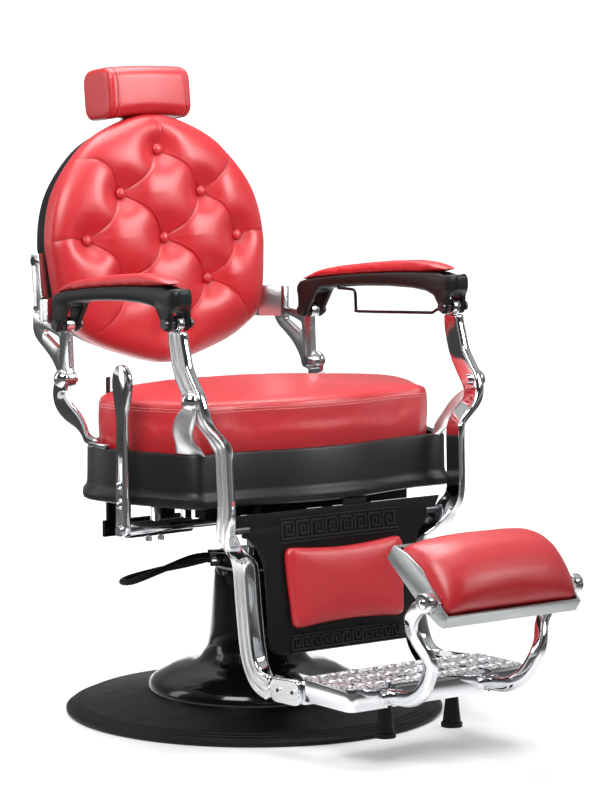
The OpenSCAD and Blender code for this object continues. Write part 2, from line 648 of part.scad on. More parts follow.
module link_plate() {
    difference() {
        union() {
            link_side(link_shares, link_x, link_x + link_plate_t);
            link_jog();
            along_x(rear_pivot_y, rear_pivot_z, eye_r, link_x, link_x + link_t);
            along_x(rear_post_y, rear_post_z, link_eye_r, link_x, link_x + link_t);
            at_back() block([mount_bar_x, mount_bar_in - mount_bar_w / 2, mount_screw_h[1] - mount_bar_over],
                [mount_bar_x + mount_bar_t, mount_bar_in + mount_bar_w / 2,
                    mount_screw_h[0] + mount_bar_over]);
        }
        link_side(slot_shares, link_x - over, link_x + link_plate_t + over);
        along_x(rear_pivot_y, rear_pivot_z, pin_r + run_fit, link_x - over, link_x + link_t + over);
        along_x(rear_post_y, rear_post_z, screw_r + run_fit, link_x - over, link_x + link_t + over);
        mount_hole(screw_r + run_fit, mount_bar_x - over, mount_bar_x + mount_bar_t + over);
    }
}
module back_link_left() color(chrome) link_plate();
module back_link_right() color(chrome) mirror([1, 0, 0]) link_plate();

// The back's outline, right half from the top down, as shares of its half width and half height
back_outline_shares = [[0, 1], [0.24, 0.955], [0.51, 0.83], [0.70, 0.67], [0.87, 0.446], [0.954, 0.236],
    [0.99, 0.008], [0.98, -0.147], [0.945, -0.442], [0.885, -0.63], [0.75, -0.745], [0.58, -0.838],
    [0.37, -0.914], [0.166, -0.973], [0, -1]];
back_ring = let(n = len(back_outline_shares), all = concat(
    [for (i = [0:n - 1]) [-back_outline_shares[i][0], back_outline_shares[i][1]]],
    [for (i = [1:n - 2]) back_outline_shares[n - 1 - i]]))
        closed_curve(scaled(all, [back_half_w, back_half_h]), 2);
function back_layer(s, depth) = [for (p = back_ring) [p[0] * s, depth, p[1] * s]];
block_h = 28;
mount_block_shares = [0.8, 0.1, 0.85];
function shell_front() = back_edge_t + shell_t / 2;
module mount_box(h) block([back_half_w * mount_block_shares[0],
    shell_front() + shell_t * mount_block_shares[1],
    h - block_h / 2], [mount_bar_x, shell_front() + shell_t * mount_block_shares[2], h + block_h / 2]);
module back_mount_blocks() color(rubber) both_sides() difference() {
    at_back() for (h = mount_screw_h) mount_box(h);
    mount_hole(screw_r + run_fit, mount_bar_x - mount_bar_t, mount_bar_x + over);
}
module back_screws() color(chrome) both_sides() {
    mount_hole(screw_r, mount_bar_x - mount_bar_t, mount_bar_x + mount_bar_t);
    mount_hole(head_screw_r, mount_bar_x + mount_bar_t, mount_bar_x + mount_bar_t + head_screw_h);
}
// Shell behind the cushion: size as shares of the outline, depth as shares of its thickness
shell_shares = [[0.84, 1], [0.915, 0.96], [0.948, 0.8], [0.955, 0.5], [0.955, 0]];
module back_shell() color(rubber) difference() {
    at_back() skin([for (s = shell_shares) back_layer(s[0], back_edge_t + shell_t / 2 + s[1] * shell_t)]);
    both_sides() at_back() for (h = mount_screw_h) mount_box(h);
}
// Buttons, as shares of the back's half width and half height
button_shares = [[0, 0.71], [0.375, 0.366], [-0.375, 0.366], [0, 0], [0.7, 0], [-0.7, 0], [0.38, -0.341],
    [-0.38, -0.341], [0, -0.71]];
tuft_spread = 27;
back_face_in = 8;
function tuft(x, h, i = 0) = i == len(button_shares) ? 0
    : let(q = [x - button_shares[i][0] * back_half_w, h - button_shares[i][1] * back_half_h])
        exp(-(q * q) / (2 * tuft_spread * tuft_spread)) + tuft(x, h, i + 1);
function back_front(x, h, s) = back_edge_t - back_face_in - back_bulge * sqrt(max(0, 1 - pow(s, 4)))
    + tuft_depth * min(1, tuft(x, h)) * (1 - pow(s, 8));
back_step_shares = [1, 0.985, 0.95, 0.9, 0.83, 0.75, 0.66, 0.57, 0.48, 0.39, 0.3, 0.21, 0.12, 0.05];
button_seat = back_edge_t - back_bulge + tuft_depth;
module back_cushion() color(red) difference() {
    at_back() skin(concat([back_layer(0.95, back_edge_t + shell_t / 2 - side_gap / 2),
        back_layer(0.985, back_edge_t + shell_t * 0.4), back_layer(1, back_edge_t)],
        [for (s = back_step_shares) [for (p = back_ring) [p[0] * s, back_front(p[0] * s, p[1] * s, s),
            p[1] * s]]]));
    at_back() for (b = button_shares) translate([b[0] * back_half_w, button_seat, b[1] * back_half_h])
        rotate([90, 0, 0]) cylinder(h = back_bulge, r = button_r + soft_gap, $fn = small_n);
}
module back_buttons() color(red) at_back() for (b = button_shares)
    translate([b[0] * back_half_w, button_seat, b[1] * back_half_h]) rotate([90, 0, 0]) {
        cylinder(h = button_r, r = button_r, $fn = small_n);
        translate([0, 0, button_r]) dome(button_r, button_r * 0.45);
    }

// Headrest
headrest_sink = 9;
headrest_swell = 3;
headrest_hang = 5;
headrest_z = back_half_h - headrest_sink;
post_half_w = 20;
post_t = 8;
socket_wall = 6;
post_y = back_edge_t + shell_t * 1.5 + socket_wall;
socket_half_w = 32;
socket_z = 100;
socket_h = 100;
post_end = 20;
post_l = headrest_travel + socket_h + post_end;
pad_back = headrest_depth - headrest_hang;
headrest_arch = 16;
slide_gap = 0.1;
module headrest_socket() color(rubber) at_back() difference() {
    block([-socket_half_w, back_edge_t + shell_t * 1.5, socket_z],
        [socket_half_w, post_y + post_t + socket_wall, socket_z + socket_h]);
    block([-post_half_w - slide_gap, post_y - slide_gap, socket_z - over],
        [post_half_w + slide_gap, post_y + post_t + slide_gap, socket_z + socket_h + over]);
}
module headrest_post() color(chrome) at_back() block([-post_half_w, post_y,
    headrest_z + 2 * headrest_arch - post_l],
    [post_half_w, post_y + post_t, headrest_z + 2 * headrest_arch]);
// The pad from end to end: place and size as shares
pad_shares = [[-1, 0.86], [-0.985, 0.95], [-0.9, 1], [-0.6, 1], [-0.3, 1], [0, 1], [0.3, 1], [0.6, 1],
    [0.9, 1], [0.985, 0.95], [1, 0.86]];
module headrest_pad() color(red) at_back() difference() {
    skin([for (s = pad_shares)
        let(t = 1 - s[0] * s[0], foot = headrest_arch * t, h = headrest_h + headrest_swell * t - foot)
        [for (p = rounded(headrest_depth * s[1], h * s[1], headrest_h * 0.26, 4))
            [s[0] * headrest_half_w, p[0] + pad_back - headrest_depth / 2,
                p[1] + headrest_z + foot + h / 2]]]);
    block([-post_half_w - slide_gap, post_y - slide_gap, headrest_z - over],
        [post_half_w + slide_gap, post_y + post_t + slide_gap, headrest_z + 2 * headrest_arch]);
}

// Armrests
arm_front_x = bar_x + bar_t / 2;
arm_rear_x = link_x + link_t / 2;
arm_tail = 15;
arm_sink = 10;
arm_rear_y = rear_post_y + arm_tail;
arm_front_y = arm_rear_y - arm_l;
front_post_y = arm_front_y + arm_nose;
front_post_back = front_post_y + front_pivot_y;
arm_low_z = rear_post_z - arm_sink;
function arm_x(y) = arm_rear_x + (arm_front_x - arm_rear_x) * (rear_post_y - y)
    / (rear_post_y + front_pivot_y - front_post_back);
// From rear to front: place as shares of the armrest's length, and the heights of its underside, its
// top and the pad's top as shares of its rise
arm_shares = [[0, 0.6, 0.94, 1.0], [0.015, 0.7, 1.05, 1.12], [0.1, 0.77, 1.16, 1.33], [0.15, 0.84, 1.2, 1.42],
    [0.26, 0.93, 1.3, 1.55], [0.43, 1.03, 1.41, 1.69], [0.59, 1.08, 1.5, 1.8], [0.745, 1.08, 1.56, 1.87],
    [0.83, 1.02, 1.59, 1.86], [0.89, 0.86, 1.61, 1.8], [0.92, 0.82, 1.62, 1.75], [0.95, 0.8, 1.63, 1.68]];
// The rounded front end, and the pad's width towards its ends
lip_shares = [[0.98, 0.84, 1.62], [0.993, 0.9, 1.58], [1, 1.02, 1.5]];
pad_width_shares = [0.7, 0.86, 0.97, 0.98, 0.98, 0.98, 0.98, 0.98, 0.98, 0.94, 0.82, 0.55];
tray_depth = 5;
module arm_skin(rows) skin([for (s = rows)
    let(y = arm_rear_y - s[0] * arm_l, low = arm_low_z + s[1] * arm_rise, top = arm_low_z + s[2] * arm_rise,
        w = arm_w, r = (top - low) * 0.3)
    [for (p = rounded(w, top - low, r, 3)) [arm_x(y) + p[0], y, (top + low) / 2 + p[1]]]]);
ear_r = 14;
front_post_z = front_pivot_z + front_post_h;
ear_half = arm_w / 2 - ear_t;
// Ears at the rear and the front: their spread ahead and behind in ear radii, the slots between
// them from their front to their rear, and the slots' depth below and rise above the pivot
rear_ear_shares = [3.3, 1.15];
front_ear_shares = [1.15, 2.6];
rear_slot_shares = [6.6, 2.7];
front_slot_shares = [2.4, 2.6];
slot_h_shares = [2.1, 2, 1.45];
module ear(y, z, r, low_y, high_y, high_z) side_plate(concat(
    [for (a = [180:15:360]) [y + r * cos(a), z + r * sin(a)]], [[high_y, high_z], [low_y, high_z]]), 0,
        ear_t);
module ear_slot(x, y, z, ends, rise) block([x - ear_half, y - ends[0] * ear_r, z - slot_h_shares[0] * ear_r],
    [x + ear_half, y + ends[1] * ear_r, z + rise * ear_r]);
module armrest() difference() {
    union() {
        arm_skin(concat([for (s = arm_shares) [s[0], s[1], s[2]]], lip_shares));
        for (x = [-arm_w / 2, ear_half]) {
            translate([arm_rear_x + x, 0, 0]) ear(rear_post_y, rear_post_z, ear_r,
                rear_post_y - rear_ear_shares[0] * ear_r, rear_post_y + rear_ear_shares[1] * ear_r,
                arm_low_z + arm_rise * 0.9);
            translate([arm_front_x + x, 0, 0]) ear(front_post_y, front_post_z, ear_r,
                front_post_y - front_ear_shares[0] * ear_r, front_post_y + front_ear_shares[1] * ear_r,
                front_post_z + slot_h_shares[0] * ear_r);
        }
    }
    ear_slot(arm_rear_x, rear_post_y, rear_post_z, rear_slot_shares, slot_h_shares[1]);
    ear_slot(arm_front_x, front_post_y, front_post_z, front_slot_shares, slot_h_shares[2]);
    along_x(rear_post_y, rear_post_z, screw_r + run_fit, link_x - arm_w, link_x + arm_w);
    along_x(front_post_y, front_post_z, screw_r + run_fit, bar_x - arm_w, bar_x + arm_w);
    translate([arm_front_x, arm_front_y + arm_w * 0.48, arm_low_z + 1.62 * arm_rise - tray_depth])
        cylinder(h = arm_rise, r = arm_w * 0.4, $fn = fine_n);
}
module armrest_left() color(satin) difference() {
    armrest();
    translate([wire_x(wire_rear_y), wire_rear_y, wire_z])
        cylinder(h = wire_end_l + over, r = towel_wire_r + run_fit, $fn = small_n);
    translate([wire_x(wire_front_y), wire_front_y, wire_front_z]) rotate([90, 0, 0])
        cylinder(h = wire_end_l + over, r = towel_wire_r + run_fit, center = true, $fn = small_n);
}
module armrest_right() color(satin) mirror([1, 0, 0]) armrest();
module arm_pad() skin([for (i = [0:len(arm_shares) - 1])
    let(s = arm_shares[i], y = arm_rear_y - s[0] * arm_l, low = arm_low_z + s[2] * arm_rise + soft_gap,
        w = arm_w * pad_width_shares[i], h = (s[3] - s[2]) * arm_rise)
    [for (p = [[0.5, 0], [0.5, 0.45], [0.46, 0.75], [0.36, 0.92], [0.2, 0.99], [0, 1], [-0.2, 0.99],
        [-0.36, 0.92],
            [-0.46, 0.75], [-0.5, 0.45], [-0.5, 0]]) [arm_x(y) + p[0] * w, y, low + p[1] * h]]]);
module armrest_pad_left() color(red) arm_pad();
module armrest_pad_right() color(red) mirror([1, 0, 0]) arm_pad();
module arm_screws() {
    for (c = [[arm_rear_x, rear_post_y, rear_post_z], [arm_front_x, front_post_y, front_post_z]]) {
        along_x(c[1], c[2], screw_r, c[0] - arm_w / 2, c[0] + arm_w / 2);
        along_x(c[1], c[2], head_screw_r, c[0] + arm_w / 2, c[0] + arm_w / 2 + head_screw_h);
        along_x(c[1], c[2], head_screw_r, c[0] - arm_w / 2 - head_screw_h, c[0] - arm_w / 2);
    }
}
module armrest_screws_left() color(chrome) arm_screws();
module armrest_screws_right() color(chrome) mirror([1, 0, 0]) arm_screws();
// The towel rail under the left armrest
wire_rise = 48;
wire_rear_in = 100;
wire_front_in = 14;
wire_front_drop = 6;
wire_z = rear_post_z + wire_rise;
wire_rear_y = rear_post_y - wire_rear_in;
wire_front_y = front_post_y + wire_front_in;
wire_front_z = front_post_z - wire_front_drop;
wire_drop = 41;
wire_end_l = 12;
function wire_x(y) = arm_x(y) - arm_w / 2 + ear_t / 2;
// The rail's way between its two ends, as shares of its run and of its drop
wire_shares = [[0, 0], [0.13, 0], [0.165, -0.08], [0.175, -0.4], [0.18, -0.9], [0.21, -1], [0.6, -0.87],
    [0.93, -0.76]];
module towel_bar() color(gloss) {
    y0 = wire_rear_y;
    y1 = wire_front_y;
    bent_rod(concat([[wire_x(y0), y0, wire_z + wire_end_l]],
        open_curve([for (s = wire_shares) let(y = y0 + s[0] * (y1 - y0))
            [wire_x(y), y, wire_z + s[1] * wire_drop]], 2),
        [[wire_x(y1), y1 + wire_end_l / 2, wire_front_z], [wire_x(y1), y1 - wire_end_l / 2, wire_front_z]]),
        towel_wire_r, [1, 0, 0], 12);
}

// Leg frame: rows of the front bars above and below the front pivot. Shares: across from the leg to
// the bar, out in front of the pivot in bar depths or post leans, height in posts or legs, then the
// width and depth in bar sizes
post_shares = [[1, 0.945, 0.9, 1, 0.95], [1, 0.92, 0.75, 1, 1.02], [1, 0.79, 0.557, 1, 1.07],
    [1, 0.61, 0.35, 1, 1.05], [1, 0.21, 0.115, 1, 1.07], [1, 0, 0, 1, 1.1]];
leg_shares = [[1, 0.075, 0.014, 1, 1.1], [0.99, 0.2, 0.038, 1, 1.05], [0.92, 0.27, 0.079, 1.06, 1],
    [0.76, 0.24, 0.12, 1.12, 0.96], [0.65, 0.25, 0.152, 1.06, 0.95], [0.605, 0.34, 0.188, 0.88, 0.95],
    [0.595, 0.41, 0.291, 0.88, 0.95], [0.587, 0.46, 0.38, 0.88, 0.95], [0.571, 0.35, 0.426, 1, 0.95],
    [0.516, 0.125, 0.459, 1.37, 0.95], [0.413, -0.1, 0.505, 2, 0.95], [0.238, -0.45, 0.539, 2.25, 0.95],
    [0.087, -0.59, 0.568, 1.9, 0.975], [0.016, -0.61, 0.608, 1.87, 0.975], [0, -0.51, 0.707, 1.87, 0.975],
    [0, -0.26, 0.846, 1.87, 0.975], [0.008, -0.025, 0.915, 1.87, 0.975], [0.016, 0.225, 0.954, 1.75, 1],
    [0.032, 0.6, 0.984, 1.62, 1.05], [0.06, 1.125, 1, 1.2, 1.1], [0.083, 1.67, 1.003, 0.56, 1.12],
    [0.083, 2.67, 0.999, 0.56, 1.12], [0.083, 3.4, 0.995, 0.56, 1.1], [0.083, 3.64, 0.994, 0.56, 0.7]];
// Where the tab stands across, and its thickness in bar sizes
tab_share = 0.083;
tab_t_share = 0.56;
tab_in = leg_x + tab_share * (bar_x + bar_t / 2 - leg_x) - tab_t_share * bar_t / 2;
tab_out = tab_in + tab_t_share * bar_t;
tab_screw_shares = [[2.25, 0.999], [3.3, 0.995]];
tab_screw_r = 4;
bolt_wall = 1.5;
panel_bolt_r = panel_t / 2 + bolt_wall;
module front_bar() {
    span = bar_x + bar_t / 2 - leg_x;
    upper = [for (s = post_shares) [leg_x + s[0] * span, -front_pivot_y + s[1] * front_post_back,
        front_pivot_z + s[2] * front_post_h, s[3] * bar_t, s[4] * bar_d, 0]];
    lower = [for (s = leg_shares) [leg_x + s[0] * span, -front_pivot_y - s[1] * bar_d,
        front_pivot_z - s[2] * leg_drop, s[3] * bar_t, s[4] * bar_d, 0]];
    difference() {
        union() {
            bar(concat(upper, lower));
            along_x(front_post_y, front_post_z, ear_r, bar_x, bar_x + bar_t);
            along_x(-front_pivot_y, front_pivot_z, eye_r, bar_x, bar_x + bar_t);
        }
        along_x(front_post_y, front_post_z, screw_r + open_play, bar_x - over, bar_x + bar_t + over);
        along_x(-front_pivot_y, front_pivot_z, pin_r + run_fit, bar_x - over, bar_x + bar_t + over);
        tab_holes(tab_screw_r + run_fit, tab_in - over, tab_out + over);
        panel_bolt(panel_bolt_r + run_fit, bolt_out);
    }
}
module tab_holes(r, x0, x1) for (s = tab_screw_shares)
    along_x(-front_pivot_y - s[0] * bar_d, front_pivot_z - s[1] * leg_drop, r, x0, x1);
module front_bar_left() color(chrome) front_bar();
module front_bar_right() color(chrome) mirror([1, 0, 0]) front_bar();

// Calf panel
// Its right edge from the top down, as shares of the pivot's distance across and the panel's height
panel_shares = [[0.772, 0], [0.719, -0.095], [0.64, -0.183], [0.587, -0.25], [0.561, -0.33], [0.548, -0.4],
    [0.548, -0.92], [0.541, -0.955], [0.522, -0.985], [0.482, -1]];
module at_panel() translate([0, panel_y, panel_z]) rotate([-panel_lean, 0, 0]) children();
bolt_drop = 25;
// The panel's bolts: their inner end and the bar's inner face, as shares
bolt_place_shares = [0.66, 0.516, 0.68];
bolt_in = bolt_place_shares[0] * bar_x;
bolt_out = leg_x + bolt_place_shares[1] * (bar_x + bar_t / 2 - leg_x) - bolt_place_shares[2] * bar_t;
module panel_bolt(r, x1) at_panel() along_x(panel_t / 2, -bolt_drop, r, bolt_in, x1);
module calf_panel() color(rubber) difference() {
    union() {
        at_panel() translate([0, panel_t, 0]) rotate([90, 0, 0]) linear_extrude(panel_t) polygon(concat(
            scaled(panel_shares, [bar_x, panel_h]),
            [for (i = [len(panel_shares) - 1:-1:0]) [-panel_shares[i][0] * bar_x,
                panel_shares[i][1] * panel_h]]));
        block([-crossbar_w / 2, crossbar_y - crossbar_t - panel_t / 3, panel_z - crossbar_h - crossbar_drop],
            [crossbar_w / 2, crossbar_y, panel_z - crossbar_drop]);
    }
    both_sides() panel_bolt(panel_bolt_r + run_fit, bolt_out + over);
}
module panel_bolts() color(chrome) both_sides() panel_bolt(panel_bolt_r, bolt_out);
// The calf pad's outline, as shares of its half width and height from its top centre
calf_shares = [[0, -0.05], [-0.5, -0.03], [-0.88, 0], [-0.97, -0.03], [-1, -0.12], [-0.99, -0.4],
    [-0.965, -0.7], [-0.945, -0.93], [-0.89, -0.99], [-0.8, -1], [-0.45, -0.975], [0, -0.965]];
calf_ring = let(n = len(calf_shares), all = concat(calf_shares,
    [for (i = [1:n - 2]) [-calf_shares[n - 1 - i][0],
    calf_shares[n - 1 - i][1]]])) closed_curve(scaled(all, [calf_pad_half_w, calf_pad_h]), 2);
calf_drop = 65;
calf_pad_t = 12;
// Size and height of the calf pad's face
calf_face_shares = [[0.99, 0], [1, 0.3], [0.985, 0.8], [0.95, 1]];
calf_crown_shares = [[0.88, 0.4], [0.75, 0.65], [0.55, 0.85], [0.3, 0.97]];
function calf_layer(s, out) = [for (p = calf_ring)
    [p[0] * s, -out, (p[1] + calf_pad_h / 2) * s - calf_pad_h / 2 - calf_drop]];
module calf_pad() color(red) at_panel() skin(concat(
    [for (s = calf_face_shares) calf_layer(s[0], soft_gap + s[1] * calf_pad_t)],
    [for (s = calf_crown_shares) calf_layer(s[0], soft_gap + calf_pad_t + s[1] * calf_pad_crown)]));

// Footplate
plate_wall = 7;
deck_t = 5;
plate_round = 15;
plate_rear_y = plate_front_y - plate_l;
lug_half_h = 20;
plate_lug_w = 41;
lug_rise = 3;
lug_z = front_pivot_z - leg_drop + lug_rise;
lug_back_share = 1.72;
slot_w = 10;
slot_count = 7;
slot_row_shares = [0.35, 0.75];
slot_half_share = 0.06;
foot_r = 19;
foot_x = 75;
foot_y = 57;
boss_r = 14;
knuckle_back = 10;
knuckle_y = -plate_front_y + knuckle_back;
knuckle_gap = 0.4;
barrel_l = 17;
arm_t = 13;
notch_l = 44;
module plate_outline(inset) translate([0, -plate_front_y + plate_l / 2])
    polygon(rounded(2 * (plate_half_w - inset), plate_l - 2 * inset, plate_round - inset / 2, 4));
module footplate() color(chrome) difference() {
    union() {
        difference() {
            translate([0, 0, plate_top_z - plate_h]) linear_extrude(plate_h) plate_outline(0);
            translate([0, 0, plate_top_z - plate_h - over])
                linear_extrude(plate_h - deck_t + over) plate_outline(plate_wall);
        }
        for (side = [-1, 1]) {
            translate([side * foot_x, -plate_front_y + foot_y, plate_top_z - plate_h + over])
                cylinder(h = plate_h - over - deck_t / 2, r = boss_r, $fn = fine_n);
            for (x = [side * (knuckle_x + arm_t / 2 + barrel_l / 2),
                side * (knuckle_x - arm_t / 2 - barrel_l / 2)]) {
                along_x(knuckle_y, knuckle_z, knuckle_r, x - barrel_l / 2, x + barrel_l / 2);
                block([x - barrel_l / 2, knuckle_y, plate_top_z - plate_h],
                    [x + barrel_l / 2, knuckle_y + notch_l, plate_top_z - deck_t / 2]);
            }
        }
        both_sides() block([tab_in - plate_lug_w, -plate_rear_y - plate_wall, lug_z - lug_half_h],
            [tab_in - side_gap / 2, -front_pivot_y - lug_back_share * bar_d, lug_z + lug_half_h]);
    }
    both_sides() {
        block([knuckle_x - arm_t / 2 - knuckle_gap, -plate_front_y - 2 * knuckle_r,
            plate_top_z - plate_h - over],
            [knuckle_x + arm_t / 2 + knuckle_gap, knuckle_y + knuckle_r + over, plate_top_z + over]);
        along_x(knuckle_y, knuckle_z, pin_r + run_fit, knuckle_x - 2 * knuckle_r, knuckle_x + 2 * knuckle_r);
        tab_holes(tab_screw_r + run_fit, tab_in - plate_lug_w * 0.6, tab_in + over);
    }
    for (i = [0:slot_count - 1], s = slot_row_shares)
        let(pitch = 2 * (plate_half_w - 2 * plate_round) / slot_count)
        translate([(i - (slot_count - 1) / 2) * pitch, -plate_front_y + plate_l * s,
            plate_top_z - 2 * deck_t])
            block([-slot_w, -plate_l * slot_half_share, 0],
                [slot_w, plate_l * slot_half_share, 2 * deck_t + over]);
}
module footplate_feet() color(rubber) for (side = [-1, 1])
    translate([side * foot_x, -plate_front_y + foot_y, plate_top_z - plate_h + over - foot_l]) {
        cylinder(h = foot_l / 9, r = foot_r, $fn = fine_n);
        translate([0, 0, foot_l / 9]) cylinder(h = foot_l * 8 / 9, r1 = foot_r * 0.86, r2 = foot_r * 0.5,
            $fn = fine_n);
    }
module footplate_screws() color(chrome) both_sides() {
    tab_holes(tab_screw_r, tab_in - plate_lug_w * 0.6, tab_out);
    tab_holes(tab_screw_r * 1.8, tab_out, tab_out + tab_screw_r * 0.8);
}
module knuckle_pins() color(chrome) both_sides()
    along_x(knuckle_y, knuckle_z, pin_r, knuckle_x - 2 * knuckle_r, knuckle_x + 2 * knuckle_r);

// Legrest. The arm's way from the knuckle to the tray, as shares of its reach, rise and spread
tray_side_t = 5;
tray_pivot_x = tray_half_w + tray_side_t;
arm_boss = 19;
swing_shares = [[0, 0, 0], [0.14, 0.005, 0], [0.28, 0.01, 0], [0.42, 0.035, 0], [0.58, 0.12, 0.06],
    [0.69, 0.24, 0.13], [0.76, 0.37, 0.2], [0.76, 0.48, 0.32], [0.7, 0.6, 0.52], [0.68, 0.7, 0.72],
    [0.72, 0.8, 0.88], [0.84, 0.91, 0.97], [0.96, 0.98, 1]];
hub_x = tray_pivot_x + knuckle_gap;
tray_y = knuckle_y - legrest_reach;
tray_z = knuckle_z + legrest_rise;
module legrest_arm() {
    spread = hub_x + arm_boss / 2 - knuckle_x;
    difference() {
        union() {
            bar([for (s = swing_shares) [knuckle_x + s[2] * spread, knuckle_y + s[0] * (tray_y - knuckle_y),
                knuckle_z + s[1] * legrest_rise, s[0] < 0.3 ? arm_t : arm_t * 1.25, arm_t * 1.9, 0]]);
            along_x(knuckle_y, knuckle_z, knuckle_r, knuckle_x - arm_t / 2, knuckle_x + arm_t / 2);
            along_x(tray_y, tray_z, knuckle_r, hub_x, hub_x + arm_boss);
        }
        along_x(knuckle_y, knuckle_z, pin_r + run_fit, knuckle_x - arm_boss, knuckle_x + arm_boss);
        along_x(tray_y, tray_z, pin_r + run_fit, hub_x - over, hub_x + arm_boss + over);
    }
}
module legrest_arm_left() color(chrome) legrest_arm();
module legrest_arm_right() color(chrome) mirror([1, 0, 0]) legrest_arm();
// The tray's side, rear top corner round the front and back along the bottom, as shares of its
// length up the slope and of its height
tray_shares = [[0.75, -0.5], [0.58, 0], [0.33, 0.44], [0.05, 0.38], [-0.12, 0.3], [-0.24, 0.3],
    [-0.265, -0.38], [-0.2, -0.56], [-0.05, -0.8], [0.24, -1.1], [0.47, -1.25], [0.73, -1.42]];
tray_slope = 45;
module legrest_tray() color(satin) difference() {
    union() {
        for (x = [-tray_half_w, tray_half_w - tray_side_t]) tray_plate(x, x + tray_side_t);
        tray_floor();
        both_sides() translate([tray_half_w - over, tray_y, tray_z]) rotate([-tray_slope, 0, 0])
            block([0, -knuckle_r, -knuckle_r], [tray_pivot_x - tray_half_w + over, knuckle_r, knuckle_r]);
    }
    both_sides() along_x(tray_y, tray_z, pin_r + run_fit, tray_half_w - 4 * tray_side_t, tray_pivot_x + over);
}
// The tray's own frame: y up the slope to the rear, z out of the cushion
module on_tray() translate([0, tray_y, tray_z]) rotate([tray_slope, 0, 0]) children();
module tray_plate(x0, x1) on_tray() side_plate([for (s = tray_shares) [s[0] * tray_l, s[1] * tray_h]], x0,
    x1);
// The tray's floor: its outer line along the bottom to the rear lip, then its inner line back
floor_shares = [[-0.265, -0.38], [-0.2, -0.56], [-0.05, -0.8], [0.24, -1.1], [0.47, -1.25], [0.73, -1.42],
    [0.75, -0.5], [0.72, -0.5], [0.7, -1.2], [0.47, -1.05], [0.24, -0.9], [-0.05, -0.6], [-0.2, -0.36],
    [-0.21, 0.3], [-0.24, 0.3]];
module tray_floor() on_tray()
    side_plate(scaled(floor_shares, [tray_l, tray_h]), tray_side_t / 2 - tray_half_w,
        tray_half_w - tray_side_t / 2);
module legrest_bolts() color(chrome) both_sides() {
    along_x(tray_y, tray_z, pin_r, tray_half_w - tray_side_t, hub_x + arm_boss);
    translate([hub_x + arm_boss, tray_y, tray_z]) rotate([0, 90, 0]) dome(knuckle_r * 0.6, pin_r * 0.8);
}
// The cushion from its foot in the tray to its crown: inset, and rows along the slope
rest_half_w = tray_half_w - tray_side_t - soft_gap;
rest_peak_share = 0.25;
rest_reach_share = 0.45;
rest_rows_shares = [[0.69, -0.5, -0.4], [0.6, -1, 0.05], [0.47, -1, 0.4], [0.33, -0.85, 0.62],
    [0.18, -0.68, 0.68], [0.03, -0.5, 0.66], [-0.1, -0.3, 0.55], [-0.17, -0.2, 0.42], [-0.19, -0.1, 0.3]];
// Across the cushion: place as shares of its half width, and how much of the crown it has
rest_across_shares = [[-1, 0], [-0.94, 0.42], [-0.8, 0.74], [-0.55, 0.93], [-0.2, 1], [0.2, 1], [0.55, 0.93],
    [0.8, 0.74], [0.94, 0.42], [1, 0]];
module legrest_cushion() color(red) on_tray() skin([for (s = rest_rows_shares)
    let(low = s[1] * tray_h, high = s[2] * tray_h,
        lift = legrest_crown * pow(max(0, 1 - pow(abs(s[0] - rest_peak_share) / rest_reach_share, 2)), 0.6))
    concat([for (a = rest_across_shares) [-a[0] * rest_half_w, s[0] * tray_l, high + a[1] * lift]],
        [[-rest_half_w, s[0] * tray_l, low], [rest_half_w, s[0] * tray_l, low]])]);

// Recline lever on the right
lever_y = -104;
lever_drop = 42;
lever_z = pan_z - lever_drop;
lever_bar_w = 32;
lever_bar_t = 13;
paddle_w = 55;
shaft_in = 110;
sleeve_r = 14;
grip_pin_shares = [0.16, 0.28];
// The handle in the side view, as shares of its width and its height above the shaft
lever_shares = [[0.42, -0.03], [0.5, 0.05], [0.5, 0.3], [0.42, 0.55], [0.42, 0.68], [0.6, 0.78],
    [0.78, 0.87], [0.72, 0.95], [0.4, 1], [-0.1, 1.01], [-0.55, 0.975], [-0.76, 0.92], [-0.72, 0.84],
    [-0.5, 0.75], [-0.38, 0.66], [-0.4, 0.5], [-0.5, 0.25], [-0.5, 0.04], [-0.38, -0.03]];
module recline_handle() color(chrome) {
    translate([-lever_x - lever_bar_t / 2, lever_y, lever_z]) rotate([90, 0, 90]) linear_extrude(lever_bar_t)
        polygon(closed_curve(scaled(lever_shares, [lever_bar_w, lever_l]), 2));
    along_x(lever_y, lever_z, lever_shaft_r, lever_bar_t / 2 - lever_x, -shaft_in);
    for (h = grip_pin_shares)
        along_x(lever_y, lever_z + h * lever_l, pin_r, -lever_x - lever_bar_t, -lever_x - lever_bar_t / 2);
}
module handle_screws() color(steel) along_x(lever_y, lever_z, head_screw_r,
    -lever_x - lever_bar_t / 2 - head_screw_h,
    -lever_x - lever_bar_t / 2);
rail_bar_h = 30;
rail_bar_t = 8;
rail_bar_y = 120;
rail_bar_x = 252;
rail_bar_drop = 56;
rail_bar_z = hub_z - rail_bar_drop;
module lever_rail() color(gloss) {
    block([-rail_bar_x, rail_bar_y, rail_bar_z],
        [-rail_x + rail_w, rail_bar_y + rail_bar_t, rail_bar_z + rail_bar_h]);
    block([-rail_bar_x + rail_bar_t, rail_bar_y, rail_bar_z],
        [-rail_bar_x + rail_bar_t + rail_w * 0.7, rail_bar_y + rail_bar_t, pan_z]);
    block([-rail_x - rail_w / 2, rail_bar_y, rail_bar_z],
        [-rail_x + rail_w / 2, rail_bar_y + rail_bar_t, frame_z]);
    translate([-rail_bar_x + rail_bar_t * 1.5, rail_bar_y, rail_bar_z + rail_bar_h / 2]) rotate([90, 0, 0])
        cylinder(h = rail_bar_t, r = rail_bar_t, $fn = small_n);
}
sleeve_in = 220;
hanger_x = 300;
